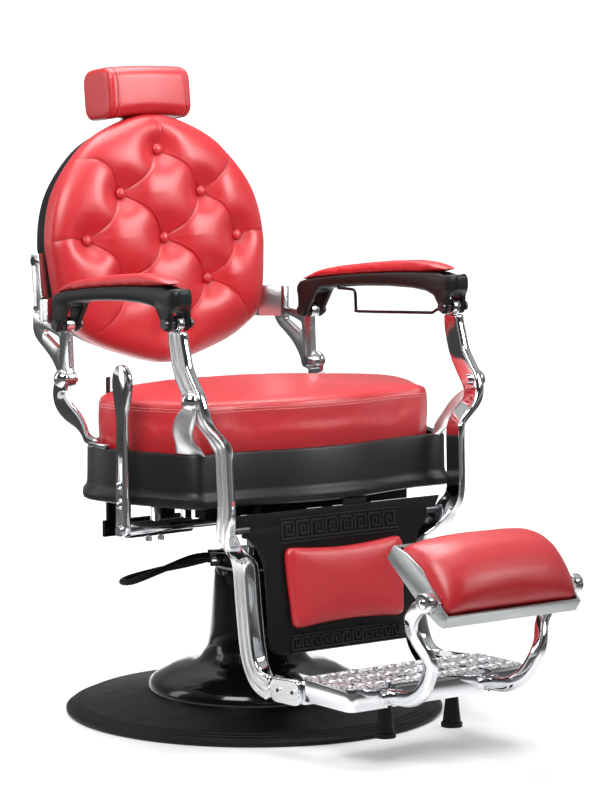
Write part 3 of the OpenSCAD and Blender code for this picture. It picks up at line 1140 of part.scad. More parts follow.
module lever_support() color(chrome) difference() {
    union() {
        along_x(lever_y, lever_z, sleeve_r, lever_bar_t / 2 + side_gap - lever_x, -sleeve_in);
        for (x = [hanger_x, sleeve_in + sleeve_r])
            block([-x, lever_y - sleeve_r / 2, lever_z], [sleeve_r - x, lever_y + sleeve_r / 2, pan_z]);
    }
    along_x(lever_y, lever_z, lever_shaft_r + run_fit, -lever_x, over - sleeve_in);
}

base_floor_plate();
base_casting();
base_edge_ring();
column_bell();
swivel_bush();
thrust_bearing();
pump_cylinder();
pump_head();
pedal_pin();
pump_pedal();
piston();
seat_hub();
seat_frame();
seat_pan();
seat_board();
seat_cushion();
cushion_tab();
rear_bracket_right();
rear_bracket_left();
front_bracket_right();
front_bracket_left();
pivot_bolts();
lock_cylinder();
lock_rod();
back_link_right();
back_link_left();
back_mount_blocks();
back_screws();
back_shell();
back_cushion();
back_buttons();
headrest_socket();
headrest_post();
headrest_pad();
armrest_right();
armrest_left();
armrest_pad_right();
armrest_pad_left();
armrest_screws_right();
armrest_screws_left();
towel_bar();
front_bar_right();
front_bar_left();
calf_panel();
calf_pad();
panel_bolts();
footplate();
footplate_feet();
footplate_screws();
knuckle_pins();
legrest_arm_right();
legrest_arm_left();
legrest_tray();
legrest_cushion();
legrest_bolts();
lever_support();
lever_rail();
recline_handle();
handle_screws();
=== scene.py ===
# %% [markdown]
# # A red and chrome barber chair
# The measured model of the chair is loaded as a fixed frame. On top of it this notebook builds what
# the eye sees: buttoned leather, plated castings, black enamel and moulded trim. Every step says what
# the piece is on a real chair, how it could be made, and why this way was chosen.

# %% Load the frame
import bpy
import bmesh
import math
import numpy as np
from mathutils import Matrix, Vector
from mathutils.bvhtree import BVHTree


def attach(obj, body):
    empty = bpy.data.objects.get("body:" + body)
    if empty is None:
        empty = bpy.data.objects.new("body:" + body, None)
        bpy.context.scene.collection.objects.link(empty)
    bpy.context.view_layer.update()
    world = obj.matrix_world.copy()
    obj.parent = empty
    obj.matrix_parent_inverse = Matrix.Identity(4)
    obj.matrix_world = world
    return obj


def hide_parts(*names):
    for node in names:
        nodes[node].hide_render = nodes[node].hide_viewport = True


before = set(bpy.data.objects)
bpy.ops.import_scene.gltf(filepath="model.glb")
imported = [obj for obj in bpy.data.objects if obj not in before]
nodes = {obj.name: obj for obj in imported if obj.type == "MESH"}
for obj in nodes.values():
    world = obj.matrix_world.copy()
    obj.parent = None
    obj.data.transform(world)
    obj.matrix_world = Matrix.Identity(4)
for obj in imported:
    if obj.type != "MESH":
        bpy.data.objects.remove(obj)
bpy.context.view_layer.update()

# %% [markdown]
# ## The camera
# A product picture of a chair is taken from a few metres away with a long lens, so that its upright
# lines stay nearly parallel. The lens is kept level in roll and looks slightly down.

# %% Camera
LENS_MM, CAMERA_AT, LOOK_DOWN, LOOK_RIGHT = 145.1, (-3.506, -4.764, 1.221), 6.215, 37.173

def new_object(name, data):
    ob = bpy.data.objects.new(name, data)
    bpy.context.scene.collection.objects.link(ob)
    return ob

camera_data = bpy.data.cameras.new("photo_lens")
camera_data.lens = LENS_MM
camera = new_object("photo_camera", camera_data)
camera.location = CAMERA_AT
camera.rotation_euler = (math.radians(90 - LOOK_DOWN), 0, math.radians(-LOOK_RIGHT))
bpy.context.scene.camera = camera
print("camera", [round(v, 3) for v in camera.location])

# %% [markdown]
# ## Shader maths as Python
# A node tree is easier to read as an expression. `Wire` wraps one output socket, and its operators add
# Math nodes. `Shading` is a node tree, and its `add` makes any other node: the type, then the settings,
# then what goes into the sockets. `Finish` is the shading of one material. Its patterns are laid out in
# object space, so they stay with a piece when the chair moves.

# %% The wire class
class Wire:
    def __init__(self, shading, socket):
        self.shading, self.socket = shading, socket

    def maths(self, operation, a, b):
        return self.shading.add("ShaderNodeMath", {"operation": operation}, {0: a, 1: b})

    def __add__(self, other): return self.maths("ADD", self, other)
    def __radd__(self, other): return self.maths("ADD", other, self)
    def __sub__(self, other): return self.maths("SUBTRACT", self, other)
    def __rsub__(self, other): return self.maths("SUBTRACT", other, self)
    def __mul__(self, other): return self.maths("MULTIPLY", self, other)
    def __rmul__(self, other): return self.maths("MULTIPLY", other, self)

print("operators of a wire: + - *")

# %% Node trees
def grey(shade):
    return (shade, shade, shade, 1)


class Shading:
    def __init__(self, owner, shader, space):
        owner.use_nodes = True
        self.tree = owner.node_tree
        self.shader = self.tree.nodes[shader]
        self.place = self.add("ShaderNodeTexCoord", {}, {}, space)

    def add(self, kind, settings, sockets, out=0):
        node = self.tree.nodes.new(kind)
        for key, value in settings.items():
            if key == "stops":
                ramp = node.color_ramp.elements
                for i, (where, shade) in enumerate(value):
                    stop = ramp[i] if i < len(ramp) else ramp.new(where)
                    stop.position, stop.color = where, grey(shade)
            else:
                setattr(node, key, value)
        for key, value in sockets.items():
            if isinstance(value, Wire):
                self.tree.links.new(value.socket, node.inputs[key])
            else:
                node.inputs[key].default_value = value
        return Wire(self, node.outputs[out])

    def along(self, way):
        return self.add("ShaderNodeVectorMath", {"operation": "DOT_PRODUCT"}, {0: self.place, 1: way}, "Value")

    def span(self, value, start, end, kind="SMOOTHSTEP", low=0.0, high=1.0):
        ends = {"From Min": start, "From Max": end, "To Min": low, "To Max": high}
        return self.add("ShaderNodeMapRange", {"interpolation_type": kind}, {"Value": value, **ends})

    def feed(self, socket, wire):
        self.tree.links.new(wire.socket, self.shader.inputs[socket])
        return self


class Finish(Shading):
    def __init__(self, name, **fixed):
        self.material = bpy.data.materials.new(name)
        super().__init__(self.material, "Principled BSDF", "Object")
        for socket, value in fixed.items():
            self.shader.inputs[socket.replace("_", " ")].default_value = value

    def noise(self, scale, detail=3.0, stretch=None):
        where = self.place
        if stretch:
            where = self.add("ShaderNodeVectorMath", {"operation": "MULTIPLY"}, {0: where, 1: stretch})
        return self.add("ShaderNodeTexNoise", {}, {"Vector": where, "Scale": scale, "Detail": detail})

    def cells(self, scale, feature="F1"):
        return self.add("ShaderNodeTexVoronoi", {"feature": feature}, {"Vector": self.place, "Scale": scale})

    def blend(self, share, a, b):
        return self.add("ShaderNodeMix", {"data_type": "RGBA"}, {0: share, 6: a, 7: b}, 2)

    def bump(self, height, depth):
        sockets = {"Height": height, "Distance": depth, "Strength": 1.0}
        return self.feed("Normal", self.add("ShaderNodeBump", {}, sockets))

print("shader helpers ready")

# %% [markdown]
# ## Red leather
# Upholstery hide is dyed through and sealed with a soft lacquer. Up close it has pebbles about a
# millimetre wide, and from further off only slow changes of tone and gloss. A cell pattern gives the
# pebbles, two layers of noise give creases and tone, and a thin coat gives the lacquer.

# %% Leather
def hide(name, dark, light, pebble=620):
    f = Finish(name, Coat_Weight=0.42, Coat_Roughness=0.33, Specular_IOR_Level=0.65)
    tone = f.noise(5.0, 3.0)
    f.feed("Base Color", f.blend(tone, dark, light))
    f.feed("Roughness", 0.34 + 0.14 * f.noise(26.0, 4.0))
    creases = f.noise(95.0, 5.0, (1.0, 1.0, 0.6))
    f.bump(f.cells(pebble) * 0.55 + creases * 0.9, 0.00028)
    return f.material

red_leather = hide("red_leather", (0.50, 0.010, 0.016, 1), (0.60, 0.016, 0.024, 1))
# The darker hide beads the seams. In the back's folds the same dark bead is painted crease shade.
red_seam_and_crease_shade = hide("red_seam_and_crease_shade", (0.27, 0.004, 0.008, 1), (0.33, 0.006, 0.01, 1))
thread = hide("red_thread", (0.8, 0.16, 0.17, 1), (1.0, 0.36, 0.36, 1), 2500)
print("leather:", red_leather.name)

# %% [markdown]
# ## Chrome and plated castings
# Chrome is a mirror with faults: it follows the slow waves of the casting below it and carries faint
# smudges. The faces between the ridges of the frame are left satin, with the fine grain of the mould.

# %% Metals
CHROME_TINT, DARK_TINT = (0.74, 0.75, 0.77), (0.10, 0.10, 0.11)

def plated(name, colour, rough, smudge, wave, grain=0.0):
    f = Finish(name, Metallic=1.0, Base_Color=(*colour, 1))
    f.feed("Roughness", rough + smudge * f.noise(38.0, 5.0))
    f.bump(f.noise(17.0, 1.0) + grain * f.noise(1500.0, 2.0), wave)
    return f.material

chrome = plated("chrome", CHROME_TINT, 0.02, 0.07, 0.0005)
satin_chrome = plated("satin_chrome", (0.80, 0.81, 0.82), 0.30, 0.12, 0.0003, 0.5)
bright_satin = plated("bright_satin", (0.64, 0.65, 0.66), 0.17, 0.1, 0.0003, 0.4)
steel = plated("turned_steel", (0.50, 0.51, 0.53), 0.22, 0.16, 0.0002, 0.3)
satin_grey = plated("satin_grey", (0.42, 0.44, 0.44), 0.28, 0.10, 0.0002, 0.3)
dark_steel = plated("dark_steel", DARK_TINT, 0.28, 0.16, 0.0002, 0.3)
print("metals:", chrome.name, satin_chrome.name)

# %% [markdown]
# ## Black finishes
# The column is gloss enamel, the base disc a rubbery black, and the seat's band, the armrests and
# the calf panel are satin. They differ mostly in roughness and in the size of their grain, so one
# function makes them all.

# %% Blacks
def black(name, shade, rough, spread, grain, depth, coat=0.0, worn=0.004, spec=0.35):
    f = Finish(name, Coat_Weight=coat, Coat_Roughness=0.08, Specular_IOR_Level=spec)
    rubbed = (shade + worn, shade + worn, shade + worn * 1.1, 1)
    f.feed("Base Color", f.blend(f.noise(7.0, 4.0), grey(shade), rubbed))
    f.feed("Roughness", rough + spread * f.noise(30.0, 4.0))
    f.bump(f.noise(grain, 3.0), depth)
    return f.material

gloss_black = black("gloss_black", 0.003, 0.08, 0.10, 60.0, 0.00004, 0.12, 0.002, 0.38)
base_black = black("base_black", 0.003, 0.34, 0.2, 700.0, 0.00022, 0.0, 0.003, 0.2)
rubber_black = black("rubber_black", 0.003, 0.4, 0.2, 900.0, 0.0003, 0.0, 0.003, 0.2)
satin_black = black("satin_black", 0.008, 0.30, 0.14, 1100.0, 0.00014)
pan_black = black("pan_black", 0.009, 0.33, 0.12, 1300.0, 0.00012)
panel_black = black("panel_black", 0.004, 0.36, 0.16, 1000.0, 0.0002, 0.0, 0.003, 0.22)
# The keys' black is lighter than the panel's: a painted highlight on the raised keys. Their lower roughness and
# stronger gloss are real.
key_black_painted_highlight = black("key_black_painted_highlight", 0.016, 0.24, 0.1, 900.0, 0.0001, 0.0, 0.004, 0.5)
print("blacks:", gloss_black.name, base_black.name, satin_black.name, panel_black.name)

# %% [markdown]
# ## Plywood and the footplate's deck
# The seat board is plywood, whose rings are drawn out along its grain. The footplate is chrome, and
# its deck has a fine cast pattern: bright lands with dark lines between them. A cell pattern stands
# for it here, and the height above the floor keeps it off the sides of the plate.

# %% Wood and deck
f = Finish("plywood")
rings = f.noise(9.0, 4.0, (1.0, 12.0, 12.0))
f.feed("Base Color", f.blend(rings, (0.42, 0.27, 0.14, 1), (0.62, 0.45, 0.27, 1)))
f.feed("Roughness", 0.5 + 0.2 * rings)
plywood = f.material

DECK_Z, DECK_FADE = 0.1412, 0.0006
f = Finish("deck_chrome")
deck = f.span(f.along((0, 0, 1)), DECK_Z, DECK_Z + DECK_FADE, "LINEAR")
gap = f.span(f.cells(88.0, "DISTANCE_TO_EDGE"), 0.16, 0.05, "LINEAR")
f.feed("Base Color", f.blend(deck * gap, (*CHROME_TINT, 1), (*DARK_TINT, 1)))
f.feed("Roughness", 0.03 + 0.06 * f.noise(38.0, 5.0) + 0.26 * deck).feed("Metallic", 1.0 - 0.55 * deck)
f.bump(f.noise(17.0, 1.0), 0.0005)
deck_chrome = f.material
print("wood and deck:", plywood.name, deck_chrome.name)

# %% [markdown]
# ## Curves and meshes
# Outlines are a few given points with a smooth curve through them. A piece whose section
# changes along its length is lofted: one ring of points for each place, joined by four-sided faces,
# which a subdivision surface then rounds.

# %% Curve helpers
MM = 0.001

def smooth_line(points, steps, closed=False):
    p = np.array(points, float)
    n = len(p)
    out = []
    for i in range(n if closed else n - 1):
        pick = [(i + k) % n if closed else min(max(i + k, 0), n - 1) for k in (-1, 0, 1, 2)]
        a, b, c, d = p[pick]
        bend, twist = 2 * a - 5 * b + 4 * c - d, 3 * b - a - 3 * c + d
        for j in range(steps):
            t = j / steps
            out.append(0.5 * (2 * b + (c - a) * t + bend * t * t + twist * t ** 3))
    if not closed:
        out.append(p[-1])
    return np.array(out)


def both_halves(half):
    return list(half) + [(-x, y) for x, y in reversed(half[1:-1])]


def turn_x(points, degrees, centre):
    centre, a = np.array(centre, float), math.radians(degrees)
    x, y, z = (np.array(points, float) - centre).T
    turned = [x, y * math.cos(a) - z * math.sin(a), y * math.sin(a) + z * math.cos(a)]
    return np.stack(turned, 1) + centre


def tilted(points, at, degrees):
    at = np.array(at, float)
    return turn_x(np.array(points, float) + at, degrees, at) * MM

print("curve helpers ready")

# %% Mesh helpers
def rework(mesh, step):
    bm = bmesh.new()
    bm.from_mesh(mesh)
    step(bm)
    bm.to_mesh(mesh)
    bm.free()


def piece(name, points, faces, material, crease_angle=None):
    mesh = bpy.data.meshes.new(name)
    mesh.from_pydata([tuple(v) for v in points], [], faces)
    rework(mesh, lambda bm: bmesh.ops.recalc_face_normals(bm, faces=bm.faces))
    mesh.shade_smooth()
    if crease_angle:
        mesh.set_sharp_from_angle(angle=math.radians(crease_angle))
    mesh.materials.append(material)
    return new_object(name, mesh)


def apply_all(ob):
    depsgraph = bpy.context.evaluated_depsgraph_get()
    mesh = bpy.data.meshes.new_from_object(ob.evaluated_get(depsgraph))
    ob.modifiers.clear()
    ob.data = mesh
    return ob


def rounded(ob, levels):
    ob.modifiers.new("round", "SUBSURF").levels = levels
    apply_all(ob).data.shade_smooth()
    return ob


def paint(ob, material):
    ob.data.materials.clear()
    ob.data.materials.append(material)

print("mesh helpers ready")

# %% Loft helpers
UP, SIDEWAYS = np.array([0.013, 0.021, 1.0]), np.array([1.0, 0.013, 0.0])

def ring_faces(count, around, cap=True):
    quads = [(i * around, (i + 1) * around, j, (j + 1) % around)
             for i in range(count - 1) for j in range(around)]
    faces = [(low + j, low + k, high + k, high + j) for low, high, j, k in quads]
    if cap:
        last = (count - 1) * around
        faces += [tuple(reversed(range(around))), tuple(range(last, last + around))]
    return faces


def tube(points, r, sides, closed=False):
    p = np.array(points, float)
    n = len(p)
    angles = np.arange(sides) * 2 * math.pi / sides
    rings = []
    for i in range(n):
        a, b = (p[i - 1], p[(i + 1) % n]) if closed else (p[max(i - 1, 0)], p[min(i + 1, n - 1)])
        t = (b - a) / max(np.linalg.norm(b - a), 1e-9)
        side = np.cross(UP, t)
        if np.linalg.norm(side) < 0.2:
            side = np.cross(SIDEWAYS, t)
        side /= np.linalg.norm(side)
        over = np.cross(t, side)
        rings.append([p[i] + r * (math.cos(k) * side + math.sin(k) * over) for k in angles])
    faces = ring_faces(n, sides, not closed)
    if closed:
        last = (n - 1) * sides
        faces += [(last + j, last + (j + 1) % sides, (j + 1) % sides, j) for j in range(sides)]
    return np.array(rings).reshape(-1, 3), faces


def gather(parts, scale=1.0):
    points, faces, start = [], [], 0
    for p, f in parts:
        points.append(np.array(p))
        faces += [tuple(i + start for i in face) for face in f]
        start += len(p)
    return np.concatenate(points) * scale, faces


def settle(ob, body, slot, *names):
    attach(ob, body)
    if names:
        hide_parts(*names)
    return ob

print("loft helpers ready")

# %% [markdown]
# ## Plates and castings from the frame
# Many hard pieces have the right shape already and only lack what a workshop adds last: softened
# edges and smooth curved faces. `dressed` copies such a piece, welds it, bevels its edges and keeps
# only the real corners sharp, and `fit` puts the copy in the piece's place. Mouldings and cushions
# are rounder, so `reskinned` gives the copy a new skin of even faces and relaxes it.

# %% Dressed copies
WELD = 0.00002

def copy_of(node, name):
    mesh = nodes[node].data.copy()
    mesh.materials.clear()
    rework(mesh, lambda bm: bmesh.ops.remove_doubles(bm, verts=bm.verts, dist=WELD))
    for attribute in [a.name for a in mesh.attributes if a.name in ("custom_normal", "sharp_edge")]:
        mesh.attributes.remove(mesh.attributes[attribute])
    return new_object(name, mesh)


def dressed(node, name, material, bevel, angle=32, flat=2.0):
    ob = copy_of(node, name)
    limit = math.radians(flat)
    rework(ob.data, lambda bm: bmesh.ops.dissolve_limit(bm, angle_limit=limit, verts=bm.verts, edges=bm.edges))
    if bevel:
        m = ob.modifiers.new("edge", "BEVEL")
        m.width, m.segments, m.limit_method, m.angle_limit = bevel, 2, "ANGLE", math.radians(angle)
        apply_all(ob)
    ob.data.shade_smooth()
    ob.data.set_sharp_from_angle(angle=math.radians(angle))
    paint(ob, material)
    return ob


def fit(node, name, material, body, slot, *shape):
    return settle(dressed(node, name, material, *shape), body, slot, node)


def relaxed(ob, times):
    m = ob.modifiers.new("relax", "SMOOTH")
    m.iterations, m.factor = times, 0.5
    return apply_all(ob)


def reskinned(node, name, voxel, times):
    ob = copy_of(node, name)
    m = ob.modifiers.new("skin", "REMESH")
    m.mode, m.voxel_size = "VOXEL", voxel
    return relaxed(ob, times)

print("workshop helpers ready")

# %% [markdown]
# ## Stuffing a cushion
# A cushion is foam pressed into a sewn cover. The closed form from the frame gets an even skin of
# small faces, is drawn in a little and is blown up as cloth. No point may move further than a few
# millimetres, so the cushion keeps its seat between its neighbours. A last relaxing takes out the
# small wrinkles that the solver leaves.

# %% The cushion helper
CLOTH_FRAMES, TENSION, LAST_RELAX = 20, 20.0, 6

def stuffed(node, name, voxel, inset, reach, pressure=4.0, relax=3):
    ob = reskinned(node, name, voxel, relax)
    mesh = ob.data
    normals = np.array([v.normal for v in mesh.vertices])
    start = np.array([v.co for v in mesh.vertices]) - normals * inset
    mesh.vertices.foreach_set("co", start.astype(np.float32).ravel())
    cloth = ob.modifiers.new("cover", "CLOTH").settings
    cloth.use_pressure, cloth.uniform_pressure_force = True, pressure
    cloth.effector_weights.gravity = 0.0
    cloth.tension_stiffness = cloth.compression_stiffness = TENSION
    scene = bpy.context.scene
    for step in range(1, CLOTH_FRAMES + 1):
        scene.frame_set(step)
    apply_all(ob)
    scene.frame_set(1)
    moved = np.array([v.co for v in ob.data.vertices]) - start
    length = np.linalg.norm(moved, axis=1, keepdims=True)
    moved *= np.minimum(1.0, reach / np.maximum(length, 1e-9))
    ob.data.vertices.foreach_set("co", (start + moved).astype(np.float32).ravel())
    relaxed(ob, LAST_RELAX)
    rounded(ob, 1)
    paint(ob, red_leather)
    print(name, "stuffed, mm:", [round(d / MM) for d in ob.dimensions])
    return ob

# %% Stitches
STITCH_PITCH, STITCH_LENGTH, STITCH_LIFT = 0.0052, 0.0034, 0.0003

def skin_tree(ob):
    return BVHTree.FromPolygons([v.co for v in ob.data.vertices], [tuple(f.vertices) for f in ob.data.polygons])


def on_skin(ob, points, lift):
    tree = skin_tree(ob)
    out = []
    for p in points:
        near, normal = tree.find_nearest(Vector(p))[:2]
        out.append(np.array(near + normal * lift))
    return np.array(out)


def stitches(name, line, skin, r):
    p = np.vstack([line, line[:1]])
    run = np.concatenate([[0], np.cumsum(np.linalg.norm(np.diff(p, axis=0), axis=1))])
    parts = []
    for i in range(max(2, int(run[-1] / STITCH_PITCH))):
        s = np.linspace(i * STITCH_PITCH, i * STITCH_PITCH + STITCH_LENGTH, 3)
        parts.append(np.array([np.interp(s, run, p[:, k]) for k in range(3)]).T)
    flat = on_skin(skin, np.concatenate(parts), STITCH_LIFT).reshape(-1, 3, 3)
    return piece(name, *gather([tube(q, r, 5) for q in flat]), thread)

print("cushion helpers ready")

# %% [markdown]
# ## The buttoned back
# Deep buttoning pulls the hide down to the shell at nine points. Between neighbours the slack is
# folded under, so each fold runs along a curve from button to button and opens at the rim as a pleat.
# The cushion is one shaped surface: a dome, minus a dimple at each button, minus a sharp valley along
# each fold. The fold lines are given as shares of the half width and the half height.

# %% The plan of the back
BACK_AT, BACK_LEAN = (0, 301, 862), -6.5
BACK_HALF_W, BACK_HALF_H = 248, 237.5
back_outline = [(0, 1), (0.24, 0.955), (0.51, 0.83), (0.70, 0.67), (0.87, 0.446), (0.954, 0.236),
                (0.99, 0.008), (0.98, -0.147), (0.945, -0.442), (0.885, -0.63), (0.75, -0.745),
                (0.58, -0.838), (0.37, -0.914), (0.166, -0.973), (0, -1)]
buttons = [(0, 0.71), (0.375, 0.366), (-0.375, 0.366), (0, 0), (0.7, 0), (-0.7, 0),
           (0.38, -0.341), (-0.38, -0.341), (0, -0.71)]
folds = [(0, 1), (0, 2), (1, 3), (2, 3), (1, 4), (2, 5), (3, 6), (3, 7), (4, 6), (5, 7), (6, 8), (7, 8)]
pleats = [[(0, 0.71), (0.035, 0.8), (0.03, 0.9), (-0.01, 1)],
          [(-0.375, 0.366), (-0.45, 0.52), (-0.57, 0.64), (-0.745, 0.655)],
          [(0.375, 0.366), (0.52, 0.46), (0.64, 0.58), (0.69, 0.68)],
          [(-0.7, 0), (-0.84, 0.02), (-0.99, 0.008)], [(0.7, 0), (0.84, 0.03), (0.99, 0.03)],
          [(0.38, -0.341), (0.56, -0.43), (0.7, -0.56), (0.78, -0.72)],
          [(-0.38, -0.341), (-0.43, -0.5), (-0.56, -0.66), (-0.72, -0.76)],
          [(0, -0.71), (0.035, -0.8), (0.03, -0.9), (0.0, -1)]]
FOLD_BOW = 0.055

def lean(points):
    return tilted(points, BACK_AT, BACK_LEAN)


def fold_line(a, b):
    a, b = np.array(buttons[a]), np.array(buttons[b])
    bow = np.array([0.55, 0.65]) if b[0] > a[0] else np.array([0.6, -0.5])
    return smooth_line([a, (a + b) / 2 + bow * FOLD_BOW, b], 8)

fold_lines = [fold_line(a, b) for a, b in folds] + [smooth_line(p, 6) for p in pleats]
print("folds", len(folds), "pleats", len(pleats))

# %% The surface of the back
FACE_Y, DOME, DIMPLE, DIMPLE_SPREAD = 6, 44, 26, 34
VALLEY, VALLEY_SPREAD, CREASE, CREASE_SPREAD = 7.5, 19, 3.4, 1.8
LIP, LIP_AT, LIP_SPREAD = 0.9, 3.0, 1.7
back_edge = [(1.0, 11), (1.0, 18), (0.999, 25), (0.995, 29), (0.984, 31), (0.95, 31.4)]
half_mm = np.array([BACK_HALF_W, BACK_HALF_H])

def near_fold(p):
    best, side = np.full(len(p), 1e9), np.zeros(len(p))
    for line in fold_lines:
        line = line * half_mm
        for a, b in zip(line[:-1], line[1:]):
            ab = b - a
            t = np.clip(((p - a) @ ab) / (ab @ ab), 0, 1)
            off = p - a - t[:, None] * ab
            d = np.hypot(off[:, 0], off[:, 1])
            closer = d < best
            best = np.where(closer, d, best)
            side = np.where(closer, np.sign(off[:, 1]), side)
    return best, side


def back_depth(p, s):
    dimple = sum(np.exp(-((p - np.array(b) * half_mm) ** 2).sum(1) / DIMPLE_SPREAD ** 2) for b in buttons)
    dimple = np.minimum(1, dimple)
    d, side = near_fold(p)
    valley = VALLEY * np.exp(-d / VALLEY_SPREAD) + CREASE * np.exp(-d / CREASE_SPREAD)
    lip = LIP * np.exp(-((d - LIP_AT) / LIP_SPREAD) ** 2) * (side > 0)
    dome = FACE_Y - DOME * np.sqrt(np.maximum(0, 1 - s ** 4))
    return dome + DIMPLE * dimple * (1 - s ** 8) + (valley - lip) * (1 - 0.75 * s ** 6) * (1 - 0.75 * dimple)


def upright(flat, depth):
    return np.stack([flat[:, 0], np.broadcast_to(depth, len(flat)), flat[:, 1]], 1)

rim = smooth_line(both_halves(back_outline), 20, True)
steps = np.concatenate([np.linspace(0, 0.97, 130), 1 - 0.03 * (1 - np.linspace(0.12, 1, 9)) ** 2])
rings = []
for s in steps:
    flat = rim * half_mm * max(s, 0.002)
    rings.append(upright(flat, back_depth(flat, np.full(len(flat), s))))
rings += [upright(rim * half_mm * scale, depth) for scale, depth in back_edge]
points, faces = lean(np.concatenate(rings)), ring_faces(len(rings), len(rim))
back = piece("back_cushion_leather", points, faces, red_leather)
settle(back, "back", "red_leather", "back_cushion")
print("back cushion faces:", len(faces))

# %% Folds and buttons of the back
FOLD_PROUD, FOLD_R, BUTTON_PROUD = 0.2, 0.0007, 4.5
button_profile = [(5, -3), (9.2, -2.4), (10.8, -0.4), (10.6, 1.4), (9.3, 3.4), (7, 5.0), (3.6, 5.9),
                  (0, 6.2)]

def lathe(profile, centre, axis, n):
    turn = Vector(axis).normalized().to_track_quat("Z", "Y")
    centre, angles = Vector(centre), np.arange(n) * 2 * math.pi / n
    points = []
    for r, h in profile:
        r = max(r, 0.01)
        points += [tuple(centre + turn @ Vector((r * math.cos(k), r * math.sin(k), h))) for k in angles]
    return np.array(points), ring_faces(len(profile), n)

# A thin dark cord of seam hide lies in the valley of each fold: painted shade that darkens the crease.
parts = []
for line in fold_lines:
    inner = line[1:-1]
    depth = back_depth(inner * half_mm, np.minimum(np.hypot(*inner.T), 1.0)) - FOLD_PROUD
    parts.append(tube(lean(upright(inner * half_mm, depth)), FOLD_R, 6))
settle(piece("back_fold_shade_cords", *gather(parts), red_seam_and_crease_shade), "back", "red_leather")
parts = []
for b in buttons:
    x, z = np.array(b) * half_mm
    reach = np.array([max(abs(b[0]), abs(b[1]))])
    depth = back_depth(np.array([[x, z]]), reach)[0] - BUTTON_PROUD
    points, faces = lathe(button_profile, (x, depth, z), (0, -1, 0), 32)
    parts.append((lean(points), faces))
studs = rounded(piece("back_button_caps", *gather(parts), red_leather), 1)
settle(studs, "back", "red_leather", "back_buttons")
print("buttons:", len(parts))

# %% [markdown]
# ## The seat, the pads and the headrest
# The seat, the footrest's cushion and the arm pads are plain covers over foam, so the cloth solver
# shapes them. The headrest and the calf pad are firmer. Each is one outline, scaled from ring to ring
# and rounded by a subdivision surface. Rays from the middle of a cushion find the line of a seam or a
# row of stitches on its finished skin. A thin bead of darker hide stands for a seam.

# %% The seat
X, Y, Z = (1, 0, 0), (0, 1, 0), (0, 0, 1)
SEAT_MID_Y, STITCH_ROWS, ROW_RISE, SEAT_STITCH_R = -0.012, (0.588, 0.5835), 0.0022, 0.0008

def hoop(skin, centre, u, v, count):
    tree = skin_tree(skin)
    out = []
    for k in range(count):
        a = 2 * math.pi * k / count
        hit = tree.ray_cast(Vector(centre), Vector(u) * math.cos(a) + Vector(v) * math.sin(a))[0]
        if hit:
            out.append(np.array(hit))
    return np.array(out)

seat = stuffed("seat_cushion", "seat_cushion_cover", 0.006, 0.001, 0.002, 3.0)
settle(seat, "seat", "red_leather", "seat_cushion")
for i, z in enumerate(STITCH_ROWS):
    line = hoop(seat, (0, SEAT_MID_Y, z), X, Y, 420) + np.array([0, 0, ROW_RISE])
    settle(stitches(f"seat_stitch_{i}", line, seat, SEAT_STITCH_R), "seat", "red_leather")
print("seat stitches done")

# %% The headrest
HEAD_HALF, HEAD_D, HEAD_H, HEAD_Z, HEAD_ARCH, HEAD_SWELL, HEAD_R = 95, 98, 100, 228.5, 8, 3, 25
HEAD_CROWN, HEAD_SET = 5, 5
SEAM_X, SEAM_R, STITCH_X, STITCH_R, HEAD_MID = 0.0785, 0.0009, 0.0755, 0.00042, (0.378, 1.137)
head_shares = [(1, 0.70), (0.992, 0.82), (0.975, 0.90), (0.95, 0.95), (0.91, 0.985), (0.86, 0.995),
               (0.825, 0.985), (0.79, 1.0), (0.7, 1.0), (0.5, 1.0), (0.25, 1.0)]

def rounded_box(w, h, r, n=7):
    return [(sx * (w / 2 - r) + r * math.cos(a), sz * (h / 2 - r) + r * math.sin(a))
            for c, (sx, sz) in enumerate(((1, 1), (-1, 1), (-1, -1), (1, -1)))
            for a in np.linspace(c * math.pi / 2, (c + 1) * math.pi / 2, n)]

rings = []
for place, size in [(-a, b) for a, b in head_shares] + [(0, 1.0)] + head_shares[::-1]:
    t = 1 - place * place
    foot, crown = HEAD_ARCH * t, HEAD_CROWN * t
    h = HEAD_H + HEAD_SWELL * t - foot
    ring = [(y + HEAD_D / 2 - HEAD_SET, z + HEAD_Z + foot + h / 2)
            for y, z in rounded_box(HEAD_D * size, h * size, HEAD_R * size)]
    rings.append([(place * HEAD_HALF, y - crown * (y < HEAD_D * 0.3), z) for y, z in ring])
points, faces = lean(np.concatenate(rings)), ring_faces(len(rings), len(ring))
head = rounded(piece("headrest_cover", points, faces, red_leather), 2)
settle(head, "headrest", "red_leather", "headrest_pad")
for side in (-1, 1):
    line = hoop(head, (side * SEAM_X, *HEAD_MID), Y, Z, 150)
    settle(piece(f"head_seam_{side + 1}", *tube(line, SEAM_R, 6, True), red_seam_and_crease_shade), "headrest", "red_leather")
    line = hoop(head, (side * STITCH_X, *HEAD_MID), Y, Z, 150)
    settle(stitches(f"head_stitch_{side + 1}", line, head, STITCH_R), "headrest", "red_leather")
print("headrest rings:", len(rings))

